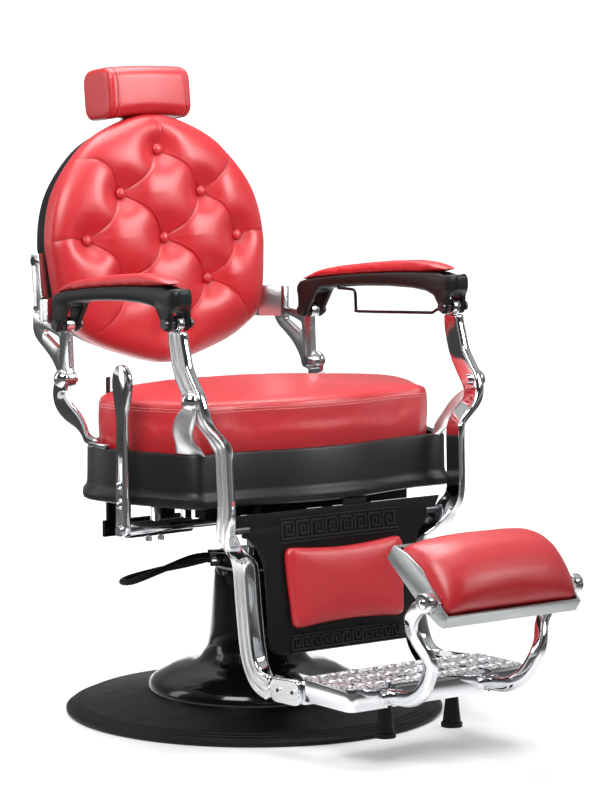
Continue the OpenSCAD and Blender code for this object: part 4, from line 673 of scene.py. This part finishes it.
# %% The calf pad
PANEL_AT, PANEL_LEAN = (0, -255, 409), -6.3
CALF_HALF, CALF_H, CALF_TOP = 131, 142, -65
calf_outline = [(0, -0.05), (0.5, -0.03), (0.88, 0), (0.97, -0.03), (1, -0.12), (0.99, -0.4), (0.965, -0.7),
                (0.945, -0.93), (0.89, -0.99), (0.8, -1), (0.45, -0.975), (0, -0.965)]
calf_profile = [(1.0, 1), (1.005, -5), (1.0, -10), (0.985, -14), (0.955, -17), (0.9, -19.5), (0.8, -21.5),
                (0.65, -23), (0.45, -24.2), (0.2, -24.9), (0.02, -25)]
edge = smooth_line(both_halves(calf_outline), 6, True)
edge = np.stack([edge[:, 0] * CALF_HALF, edge[:, 1] * CALF_H + CALF_TOP], 1)
middle = np.array([0, CALF_TOP - CALF_H / 2])
rings = [[(x, depth, z) for x, z in middle + (edge - middle) * k] for k, depth in calf_profile]
points = tilted(np.concatenate(rings), PANEL_AT, PANEL_LEAN)
calf = rounded(piece("calf_pad_cover", points, ring_faces(len(rings), len(edge)), red_leather), 1)
settle(calf, "leg_frame", "red_leather", "calf_pad")
print("calf pad rings:", len(rings))

# %% The footrest's cushion, the arm pads and the seat's tab
CROWN, FOOT_HALF = 0.007, 0.15
SIDES = (("right", -1), ("left", 1))
foot = stuffed("legrest_cushion", "legrest_cover", 0.005, -0.003, 0.004, 4.0, 10)
low, high = (pick(v.co.z for v in foot.data.vertices) for pick in (min, max))
for v in foot.data.vertices:
    rise, across = (v.co.z - low) / (high - low), 1 - (v.co.x / FOOT_HALF) ** 2
    v.co.z += CROWN * rise * across
    v.co.y -= 0.6 * CROWN * across * rise * (1 - rise) * 2
settle(foot, "legrest", "red_leather", "legrest_cushion")
for side, mirror in SIDES:
    pad = stuffed(f"armrest_pad_{side}", f"arm_pad_cover_{side}", 0.0045, 0.001, 0.003)
    settle(pad, f"arm_{side}", "red_leather", f"armrest_pad_{side}")
fit("cushion_tab", "cushion_pull_tab", satin_black, "seat", "satin_black", 0.0006)
print("pads done")

# %% [markdown]
# ## Cast bars
# The front bars, the brackets and the footrest's arms are one-piece castings, ground and plated. Each
# is described by rows from one end to the other: the place of the section's middle, its width and its
# depth. The outer face keeps two shallow grooves and a satin finish, the rest is polished.

# %% Bar helper
FULL = 1.07  # the subdivision draws a section in, so it starts fuller

def bar(name, rows, section, mirror, steps=3, outer=(), first=chrome):
    line = smooth_line(rows, steps)
    points = []
    for i, row in enumerate(line):
        x, y, z, w, d = row[:5]
        yaw = math.radians(row[5]) if len(row) > 5 else 0
        before, after = line[max(i - 1, 0)], line[min(i + 1, len(line) - 1)]
        t = math.atan2(before[1] - after[1], after[2] - before[2])
        flip = 1 if math.cos(t) >= 0 else -1
        for u, v in section:
            p0, p1 = u * w * FULL / 2, v * d * FULL / 2 * flip
            points.append((mirror * (x + p0 * math.cos(yaw) - p1 * math.cos(t) * math.sin(yaw)),
                           y + p0 * math.sin(yaw) + p1 * math.cos(t) * math.cos(yaw), z + p1 * math.sin(t)))
    ob = piece(name, np.array(points) * MM, ring_faces(len(line), len(section)), first)
    ob.data.materials.append(satin_chrome)
    walls = (len(line) - 1) * len(section)
    for i, face in enumerate(ob.data.polygons):
        face.material_index = 1 if i < walls and i % len(section) in outer else 0
    return rounded(ob, 1)


def joined(name, obs):
    bpy.ops.object.select_all(action="DESELECT")
    for ob in obs:
        ob.select_set(True)
    bpy.context.view_layer.objects.active = obs[0]
    bpy.ops.object.join()
    obs[0].name = name
    return obs[0]

print("bar helper ready")

# %% Blocks, discs and sections
SOFT = 1.5
BOX_FACES = [(0, 1, 3, 2), (4, 6, 7, 5), (0, 4, 5, 1), (2, 3, 7, 6), (0, 2, 6, 4), (1, 5, 7, 3)]

def slab(name, centre, size, material):
    c, h = np.array(centre, float), np.array(size, float) / 2
    points = [c + h * np.array([i, j, k]) for i in (-1, 1) for j in (-1, 1) for k in (-1, 1)]
    ob = piece(name, np.array(points) * MM, BOX_FACES, material)
    m = ob.modifiers.new("edge", "BEVEL")
    m.width, m.segments = SOFT * MM, 3
    apply_all(ob).data.set_sharp_from_angle(angle=math.radians(40))
    return ob


def puck(name, centre, r, half, material=chrome):
    edge = [(r - SOFT * 2, -half), (r - SOFT * 0.4, -half + SOFT * 0.3), (r, -half + SOFT)]
    profile = [(0, -half), *edge, *((a, -h) for a, h in reversed(edge)), (0, half)]
    points, faces = lathe(profile, centre, X, 40)
    return piece(name, points * MM, faces, material, 35)


def mirrored(point, mirror):
    return (mirror * point[0], *point[1:])

ribbed = [(0.55, -1), (0.9, -0.93), (1, -0.8), (1, -0.52), (0.84, -0.44), (0.84, -0.3), (1, -0.22),
          (1, 0.22), (0.84, 0.3), (0.84, 0.44), (1, 0.52), (1, 0.8), (0.9, 0.93), (0.55, 1), (-0.55, 1),
          (-0.9, 0.93), (-1, 0.8), (-1, 0.3), (-1, -0.3), (-1, -0.8), (-0.9, -0.93), (-0.55, -1)]
outer_face = set(range(2, 11))
plain = [(0.5, -1), (0.86, -0.9), (1, -0.6), (1, 0.6), (0.86, 0.9), (0.5, 1), (-0.5, 1), (-0.86, 0.9),
         (-1, 0.6), (-1, -0.6), (-0.86, -0.9), (-0.5, -1)]
print("sections:", len(ribbed), "and", len(plain), "points")

# %% Front bars
post_shares = [(1, 0.945, 0.9, 1, 0.95), (1, 0.92, 0.75, 1, 1.02), (1, 0.79, 0.557, 1, 1.07),
               (1, 0.61, 0.35, 1, 1.05), (1, 0.21, 0.115, 1, 1.07), (1, 0, 0, 1, 1.1)]
leg_shares = [(0.99, 0.2, 0.038, 1, 1.05), (0.92, 0.27, 0.079, 1.06, 1), (0.76, 0.24, 0.12, 1.12, 0.96),
              (0.65, 0.25, 0.152, 1.06, 0.95), (0.605, 0.34, 0.188, 0.88, 0.95),
              (0.595, 0.41, 0.291, 0.88, 0.95), (0.587, 0.46, 0.38, 0.88, 0.95),
              (0.571, 0.35, 0.426, 1, 0.95), (0.516, 0.125, 0.459, 1.37, 0.95),
              (0.413, -0.1, 0.505, 2, 0.95), (0.238, -0.45, 0.539, 2.25, 0.95),
              (0.087, -0.59, 0.568, 1.9, 0.975), (0.016, -0.61, 0.608, 1.87, 0.975),
              (0, -0.51, 0.707, 1.87, 0.975), (0, -0.26, 0.846, 1.87, 0.975),
              (0.008, -0.025, 0.915, 1.87, 0.975), (0.016, 0.225, 0.954, 1.75, 1),
              (0.032, 0.6, 0.984, 1.62, 1.05), (0.06, 1.125, 1, 1.2, 1.1), (0.083, 1.67, 1.003, 0.56, 1.12),
              (0.083, 2.67, 0.999, 0.56, 1.12), (0.083, 3.4, 0.995, 0.56, 1.1),
              (0.083, 3.64, 0.994, 0.56, 0.7)]
BAR_IN, BAR_SPAN, BAR_T, BAR_D, PIVOT_Y, PIVOT_Z = 185, 126, 16, 40, -253, 617
TOP_EYE, PIVOT_EYE = (311, -198, 748), (311, PIVOT_Y, PIVOT_Z)
front_rows = [(BAR_IN + a * BAR_SPAN, PIVOT_Y + b * 55, PIVOT_Z + c * 131, d * BAR_T, e * BAR_D)
              for a, b, c, d, e in post_shares]
front_rows += [(BAR_IN + a * BAR_SPAN, PIVOT_Y - b * 40, PIVOT_Z - c * 505, d * BAR_T, e * BAR_D)
               for a, b, c, d, e in leg_shares]
for side, mirror in SIDES:
    casting = bar("bar_casting", front_rows, ribbed, mirror, outer=outer_face)
    top_eye = puck("eye", mirrored(TOP_EYE, mirror), 14, 8)
    pivot_eye = puck("eye", mirrored(PIVOT_EYE, mirror), 19, 8.2, satin_chrome)
    ob = joined(f"front_bar_{side}_casting", [casting, top_eye, pivot_eye])
    settle(ob, "leg_frame", "chrome", f"front_bar_{side}")
print("front bars:", len(front_rows), "rows")

# %% Brackets and back links
rear_shares = [(0, 0, 0.02, 1, 3.6), (0, 0, 0.06, 1, 4), (0, -0.05, 0.22, 1, 5.4),
               (0.02, 0.02, 0.38, 1, 5.6), (0.05, 0.3, 0.56, 1, 4.6), (0.1, 0.68, 0.68, 1.1, 3.6),
               (0.26, 1.1, 0.8, 1.2, 2.8), (0.42, 1.45, 0.9, 1.3, 2.2), (0.48, 1.85, 0.93, 1.3, 1.6)]
REAR_EYE, REAR_FOOT = (295.4, 193, 619), (346, -4.6, 519)
rear_rows = [(REAR_EYE[0] + a * 104, REAR_EYE[1] - b * 104, REAR_EYE[2] - c * 104, d * 8, e * 8)
             for a, b, c, d, e in rear_shares]
FOOT_X, FOOT_Y, MID_X = 278.1, -192.4, 323.4
fore_shares = [(1, 1, 0.96, 1, 4, 0), (1, 0.95, 0.8, 1, 4.4, 0), (0.93, 0.75, 0.66, 1.1, 5, -10),
               (0.75, 0.45, 0.5, 1.2, 6, -22), (0.5, 0.22, 0.34, 1.3, 6.4, -32),
               (0.25, 0.1, 0.2, 1.5, 6.4, -38), (0.05, 0.02, 0.07, 1.75, 6.4, -40),
               (0, 0, 0, 1.8, 6.4, -40)]
fore_rows = [(FOOT_X + a * (MID_X - FOOT_X), FOOT_Y + b * (PIVOT_Y - FOOT_Y), 515 + c * 102, d * 8, e * 8, yaw)
             for a, b, c, d, e, yaw in fore_shares]
for side, mirror in SIDES:
    neck = bar("rear_neck", rear_rows, plain, mirror)
    foot = slab("rear_foot", mirrored(REAR_FOOT, mirror), (14, 52, 8), chrome)
    eye = puck("rear_eye", mirrored(REAR_EYE, mirror), 17, 4)
    ob = joined(f"rear_bracket_{side}_casting", [neck, foot, eye])
    settle(ob, "seat", "chrome", f"rear_bracket_{side}")
    neck = bar("fore_neck", fore_rows, plain, mirror, first=satin_chrome)
    eye = puck("fore_eye", mirrored((MID_X, PIVOT_Y, PIVOT_Z), mirror), 17, 4)
    ob = joined(f"front_bracket_{side}_casting", [neck, eye])
    settle(ob, "seat", "chrome", f"front_bracket_{side}")
    fit(f"back_link_{side}", f"back_link_{side}_casting", bright_satin, "back", "chrome", 0.0016, 28)
print("brackets:", len(rear_rows), "and", len(fore_rows), "rows")

# %% Footrest arms
swing_shares = [(0, 0, 0), (0.14, 0.005, 0), (0.28, 0.01, 0), (0.42, 0.035, 0), (0.58, 0.12, 0.06),
                (0.69, 0.24, 0.13), (0.76, 0.37, 0.2), (0.76, 0.48, 0.32), (0.7, 0.6, 0.52),
                (0.68, 0.7, 0.72), (0.72, 0.8, 0.88), (0.84, 0.91, 0.97), (0.96, 0.98, 1)]
HEEL, HUB = (108, -530, 121), (162.9, -700, 311)
swing_rows = [(HEEL[0] + c * 54.9, HEEL[1] - a * 170, HEEL[2] + b * 190, 13 if a < 0.3 else 16.25, 24.7)
              for a, b, c in swing_shares]
for side, mirror in SIDES:
    arm = bar("arm", swing_rows, plain, mirror, 4)
    heel = puck("heel", mirrored(HEEL, mirror), 12.4, 6.5)
    hub = puck("hub", mirrored(HUB, mirror), 17, 9.5)
    ob = joined(f"legrest_arm_{side}_casting", [arm, heel, hub])
    settle(ob, "legrest_arms", "chrome", f"legrest_arm_{side}")
print("footrest arms:", len(swing_rows), "rows")

# %% [markdown]
# ## Moulded trim
# The armrests, the shell behind the back and the calf panel are mouldings, soft at every edge. The
# armrests get a new skin and are relaxed, which gives them the melted corners of a moulding. Then
# their front ends are narrowed to a nose and pressed in to a shallow dish. The calf panel carries two
# bands of the Greek key, a border older than any maker.

# %% Armrests, shell, pan
ARM_MID, NOSE_START, NOSE, NOSE_Z, NOSE_PULL = 0.3115, -0.196, 0.021, 0.768, 0.0075
NECK_LOW, NECK_HIGH, NECK_Y, NECK_PULL, FADE = 0.732, 0.783, -0.19, 0.006, 0.012
TRAY_Z, TRAY_D, TRAY_Y, TRAY_W, TRAY_L = 0.796, 0.004, -0.196, 0.015, 0.017
POST_CLEAR, SHELL_MID = 46, 62
shell_profile = [(0.9, 31.4), (0.955, 31.4), (0.957, 45), (0.957, 60), (0.955, 69), (0.945, 73.5),
                 (0.925, 75), (0.9, 73), (0.87, 69), (0.8, 65), (0.5, 65), (0.02, 65)]

def share(distance, whole):
    return min(1.0, max(0.0, distance / whole))

for side, mirror in SIDES:
    ob = reskinned(f"armrest_{side}", f"armrest_{side}_moulding", 0.0025, 8)
    for v in ob.data.vertices:
        t = share(NOSE_START - v.co.y, NOSE) * share(v.co.z - NOSE_Z, FADE)
        middle = mirror * ARM_MID
        v.co.x = middle + (v.co.x - middle) * math.sqrt(1 - 0.7 * t * t)
        neck = share(v.co.z - NECK_LOW, FADE) * share(NECK_HIGH - v.co.z, 0.01)
        v.co.y += NECK_PULL * neck * share(NECK_Y - v.co.y, FADE) - NOSE_PULL * t
        if v.co.z > TRAY_Z:
            v.co.z -= TRAY_D * math.exp(-((v.co.x - middle) / TRAY_W) ** 4 - ((v.co.y - TRAY_Y) / TRAY_L) ** 4)
    ob.data.shade_smooth()
    paint(ob, satin_black)
    settle(ob, f"arm_{side}", "satin_black", f"armrest_{side}")
rings = [[(x * k, d - (d - SHELL_MID) * math.exp(-(x / POST_CLEAR) ** 2) * (d > SHELL_MID and z > 0), z * k)
          for x, z in rim * half_mm] for k, d in shell_profile]
points, faces = lean(np.concatenate(rings)), ring_faces(len(rings), len(rim))
shell = piece("back_shell_moulding", points, faces, panel_black, 50)
settle(shell, "back", "black_panel", "back_shell")
fit("seat_pan", "seat_pan_moulding", pan_black, "seat", "satin_pan", 0, 40, 0.5)
fit("towel_bar", "towel_bar_rod", gloss_black, "arm_left", "gloss_black", 0, 70, 0.1)
print("mouldings ready")

# %% Calf panel with its key bands
KEY_T, KEY_ROOT = 2.2, 0.3
key = [(0, 0), (0, 1), (0.8, 1), (0.8, 0.24), (0.28, 0.24), (0.28, 0.72), (0.53, 0.72), (0.53, 0.5)]
short_key = [(0, 0), (0, 1), (0.76, 1), (0.76, 0.3), (0.36, 0.3), (0.36, 0.66)]

def strip(a, b, w):
    xs, zs = sorted((a[0], b[0])), sorted((a[1], b[1]))
    p = [(x, y, z) for x in (xs[0] - w / 2, xs[1] + w / 2) for y in (KEY_ROOT, -KEY_T)
         for z in (zs[0] - w / 2, zs[1] + w / 2)]
    return np.array(p), BOX_FACES


def key_band(shape, half, low, high, count, wide, lines):
    pitch, parts = (2 * half - wide) / count, []
    for i in range(count):
        x0 = -half + i * pitch + wide / 2
        p = [(x0 + u * pitch, low + v * (high - low)) for u, v in shape]
        parts += [strip(a, b, wide) for a, b in zip(p[:-1], p[1:])]
        parts.append(strip((x0, low), (x0 + pitch, low), wide))
    return parts + [strip((-half, z), (half, z), wide * 0.7) for z in lines]

fit("calf_panel", "calf_panel_moulding", panel_black, "leg_frame", "black_panel", 0.0012, 40)
parts = key_band(key, 132, -49, -19.5, 8, 3.0, (-55, -13.5))
parts += key_band(short_key, 125, -246, -226, 11, 2.6, (-251, -221))
points, faces = gather(parts)
# The keys wear the lighter black, which paints a highlight on them.
bands = piece("calf_key_bands", tilted(points, PANEL_AT, PANEL_LEAN), faces, key_black_painted_highlight, 20)
settle(bands, "leg_frame", "black_panel")
print("key bands:", len(parts), "strips")

# %% [markdown]
# ## Footplate and small hardware
# The footplate is a plated casting with raised scrolls on its deck, so that a shoe doesn't slip. Each
# scroll is a spiral worked out by a formula and laid as a round cord that is half sunk in the deck.
# The footrest's tray, the lever, the pedal and the bolts need only soft edges and their own finish.

# %% Footplate
SCROLL_R, SCROLL_TURNS, SCROLL_WIND, SCROLL_Z, SCROLL_T = 9.5, 1.4, 1.6, 143, 1.2
SCROLL_X, SCROLL_PITCH, SCROLL_PAIR, SCROLL_COUNT = -168, 42, 10, 9

def scroll(x, y, start, hand):
    whole = SCROLL_TURNS * 2 * math.pi
    a = np.linspace(0, whole, 34)
    r = SCROLL_R * np.exp(-a / whole * SCROLL_WIND)
    line = [x + r * np.cos(start + hand * a), y + r * np.sin(start + hand * a), np.full(len(a), SCROLL_Z)]
    return tube(np.stack(line, 1), SCROLL_T, 8)

fit("footplate", "footplate_plate", deck_chrome, "leg_frame", "chrome", 0.0012, 30)
parts = []
for i in range(SCROLL_COUNT):
    for y, flip in ((-415, 1), (-463, -1), (-516, 1)):
        for hand in (1, -1):
            start = 0 if hand * flip > 0 else math.pi
            parts.append(scroll(SCROLL_X + SCROLL_PITCH * i + hand * SCROLL_PAIR, y, start, hand * flip))
scrolls = piece("footplate_scrolls", *gather(parts, MM), satin_chrome)
settle(scrolls, "leg_frame", "chrome")
print("scrolls:", len(parts))

# %% Tray, lever, pedal and bolts
fit("legrest_tray", "legrest_tray_casting", satin_grey, "legrest", "satin_grey", 0.001, 30)
fit("recline_handle", "recline_lever_casting", chrome, "recline_lever", "chrome", 0.0026, 40)
fit("pump_pedal", "pump_pedal_rubber", rubber_black, "pedal", "pedal_rubber", 0.0008, 50)
fit("lever_support", "lever_support_bracket", chrome, "seat", "chrome", 0.001, 30)
bolt_profile = [(0, 0), (6.2, 0), (6.2, 2), (4.2, 2), (4.2, 4), (7, 4), (7, 9.5), (6.2, 10.5), (0, 10.5)]
parts = [lathe(bolt_profile, (x, -104, 366), (0, 0, -1), 6) for x in (-308, -282)]
settle(piece("sleeve_bolts", *gather(parts, MM), steel, 20), "seat", "steel")
sockets = [puck("socket", (side * 203.2, y, z), 3.4, 0.5, gloss_black)
           for side in (-1, 1) for y, z in ((-343, 112.5), (-385, 114.5))]
settle(joined("screw_sockets", sockets), "leg_frame", "chrome")
print("sleeve bolts:", len(parts), "screw sockets:", len(sockets))

# %% [markdown]
# ## What stays as measured
# Turned and flat parts need no more than their finish: pins, plates, bolts, the piston and the rings.
# The column's bell is a smooth casting, so its copy is only shaded smooth.

# %% Finishes on the frame's own pieces
def wear(material, *names):
    for name in names:
        paint(nodes[name], material)

fit("column_bell", "column_bell_enamel", gloss_black, "base", "gloss_black", 0, 50, 0.05)
wear(base_black, "base_casting", "seat_hub", "seat_frame")
wear(rubber_black, "base_edge_ring", "footplate_feet", "back_mount_blocks")
wear(gloss_black, "pump_head", "lock_cylinder", "lever_rail")
wear(steel, "base_floor_plate", "swivel_bush", "thrust_bearing", "pump_cylinder", "handle_screws")
wear(chrome, "piston", "pedal_pin", "pivot_bolts", "back_screws")
wear(chrome, "headrest_post", "knuckle_pins", "legrest_bolts")
wear(satin_chrome, "footplate_screws")
wear(dark_steel, "lock_rod", "panel_bolts", "armrest_screws_right", "armrest_screws_left")
wear(panel_black, "headrest_socket")
wear(plywood, "seat_board")
print("finishes given")

# %% [markdown]
# ## Studio
# The picture has a white ground and soft light from above and both sides. The eye sees a plain pale
# floor that runs up to a white wall. The floor also glows, which is painted light: faintly near the
# chair and almost white further off. Chrome shows what stands round it, and on white it would vanish,
# so a photographer lays black cloths just out of the picture. Here a second floor with dark edges does
# that. It gives the mirror images and the bounced light, and the camera never sees it. The room's own
# light is a pale gradient, dimmer on the camera's side.

# %% Studio helpers
WHITE, DIM, BRIGHT = grey(0.88), grey(0.12), grey(0.95)
VIEW, ACROSS = Vector((0.604, 0.797, 0.0)), Vector((0.797, -0.604, 0.0))
RAYS = ("camera", "diffuse", "glossy", "transmission", "volume_scatter", "shadow")

def soft_light(name, at, size, watts, look=(0, 0, 0.6), spread=180):
    data = bpy.data.lights.new(name, "AREA")
    data.shape, data.size, data.size_y, data.energy = "RECTANGLE", *size, watts
    data.spread = math.radians(spread)
    ob = new_object(name, data)
    ob.location = at
    ob.rotation_euler = (Vector(look) - Vector(at)).to_track_quat("-Z", "Y").to_euler()
    return ob


def seen_by(ob, *rays):
    for ray in RAYS:
        setattr(ob, f"visible_{ray}", ray in rays)
    return ob

print("studio helpers ready")

# %% Floor and wall
FLOOR_HALF, FLOOR_Z, WALL_R, WALL_H, WALL_SIDES = 40, -0.0002, 38, 30, 64
ground = Finish("studio_floor", Roughness=0.6, Base_Color=WHITE, Specular_IOR_Level=0.2, Emission_Strength=1.0)
away = ground.add("ShaderNodeVectorMath", {"operation": "LENGTH"}, {0: ground.place}, "Value")
# Painted light: the floor glows faintly within 0.9 m of the middle and rises to near white at 3 m.
ground.feed("Emission Color", ground.blend(ground.span(away, 0.9, 3.0), DIM, BRIGHT))
corners = [(x * FLOOR_HALF, y * FLOOR_HALF, 0) for x, y in ((-1, -1), (1, -1), (1, 1), (-1, 1))]
floor = piece("studio_floor", corners, [(0, 1, 2, 3)], ground.material)
floor.location.z = FLOOR_Z
seen_by(floor, "camera", "transmission")
white = Finish("studio_white", Base_Color=WHITE, Emission_Color=WHITE, Emission_Strength=1.1)
angles = [2 * math.pi * i / WALL_SIDES for i in range(WALL_SIDES)]
points = [(WALL_R * math.cos(a), WALL_R * math.sin(a), z) for z in (-0.01, WALL_H) for a in angles]
wall = piece("studio_wall", points, ring_faces(2, WALL_SIDES, cap=False), white.material)
seen_by(wall, "camera")
print("floor and wall ready")

# %% Black cloths
CLOTHS_Z = -0.0004
cloths = Finish("black_cloths", Roughness=0.6, Specular_IOR_Level=0.2, Emission_Strength=1.0)
far = cloths.along(VIEW)
aside = cloths.add("ShaderNodeMath", {"operation": "ABSOLUTE"}, {0: cloths.along(ACROSS)}) - 0.12 * far
edges = {0: cloths.span(aside, 0.62, 1.25), 1: cloths.span(far, -0.85, -1.3)}
dark = cloths.add("ShaderNodeMath", {"operation": "MAXIMUM"}, edges)
lit = cloths.blend(cloths.span(far, 0.2, 3.0), DIM, BRIGHT)
cloths.feed("Emission Color", cloths.blend(dark, lit, grey(0.0)))
cloths.feed("Base Color", cloths.blend(dark, WHITE, grey(0.1)))
corners = [VIEW * u + ACROSS * v for u, v in ((-2.4, -30), (-2.4, 30), (40, 30), (40, -30))]
hidden_floor = piece("black_cloths", corners, [(0, 1, 2, 3)], cloths.material)
hidden_floor.location.z = CLOTHS_Z
seen_by(hidden_floor, "diffuse", "glossy")
print("black cloths ready")

# %% Lights
lights = [soft_light("key", (-2.4, -1.4, 3.0), (1.6, 1.6), 95),
          soft_light("fill", (1.6, -2.4, 2.4), (1.2, 1.7), 8.5, (0, 0.3, 1.2), 50),
          soft_light("top", (0.2, 0.4, 3.2), (2.2, 2.2), 100),
          soft_light("edge", (-2.4, 2.2, 1.6), (0.8, 2.2), 18)]
print("lights:", len(lights))

# %% Room light
world = bpy.data.worlds.new("white_room")
bpy.context.scene.world = world
sky = Shading(world, "Background", "Generated")
height = sky.add("ShaderNodeSeparateXYZ", {}, {0: sky.place}, "Z")
shades = [(0.0, 1.0), (0.03, 1.0), (0.09, 0.3), (0.38, 0.22), (0.55, 0.5), (1.0, 0.8)]
sky.feed("Color", sky.add("ShaderNodeValToRGB", {"stops": shades}, {"Fac": height}, "Color"))
sky.feed("Strength", sky.span(sky.along(-VIEW), -0.7, 0.7, low=1.0, high=0.16))
bpy.context.scene.view_settings.view_transform = "Standard"
print("room light ready")
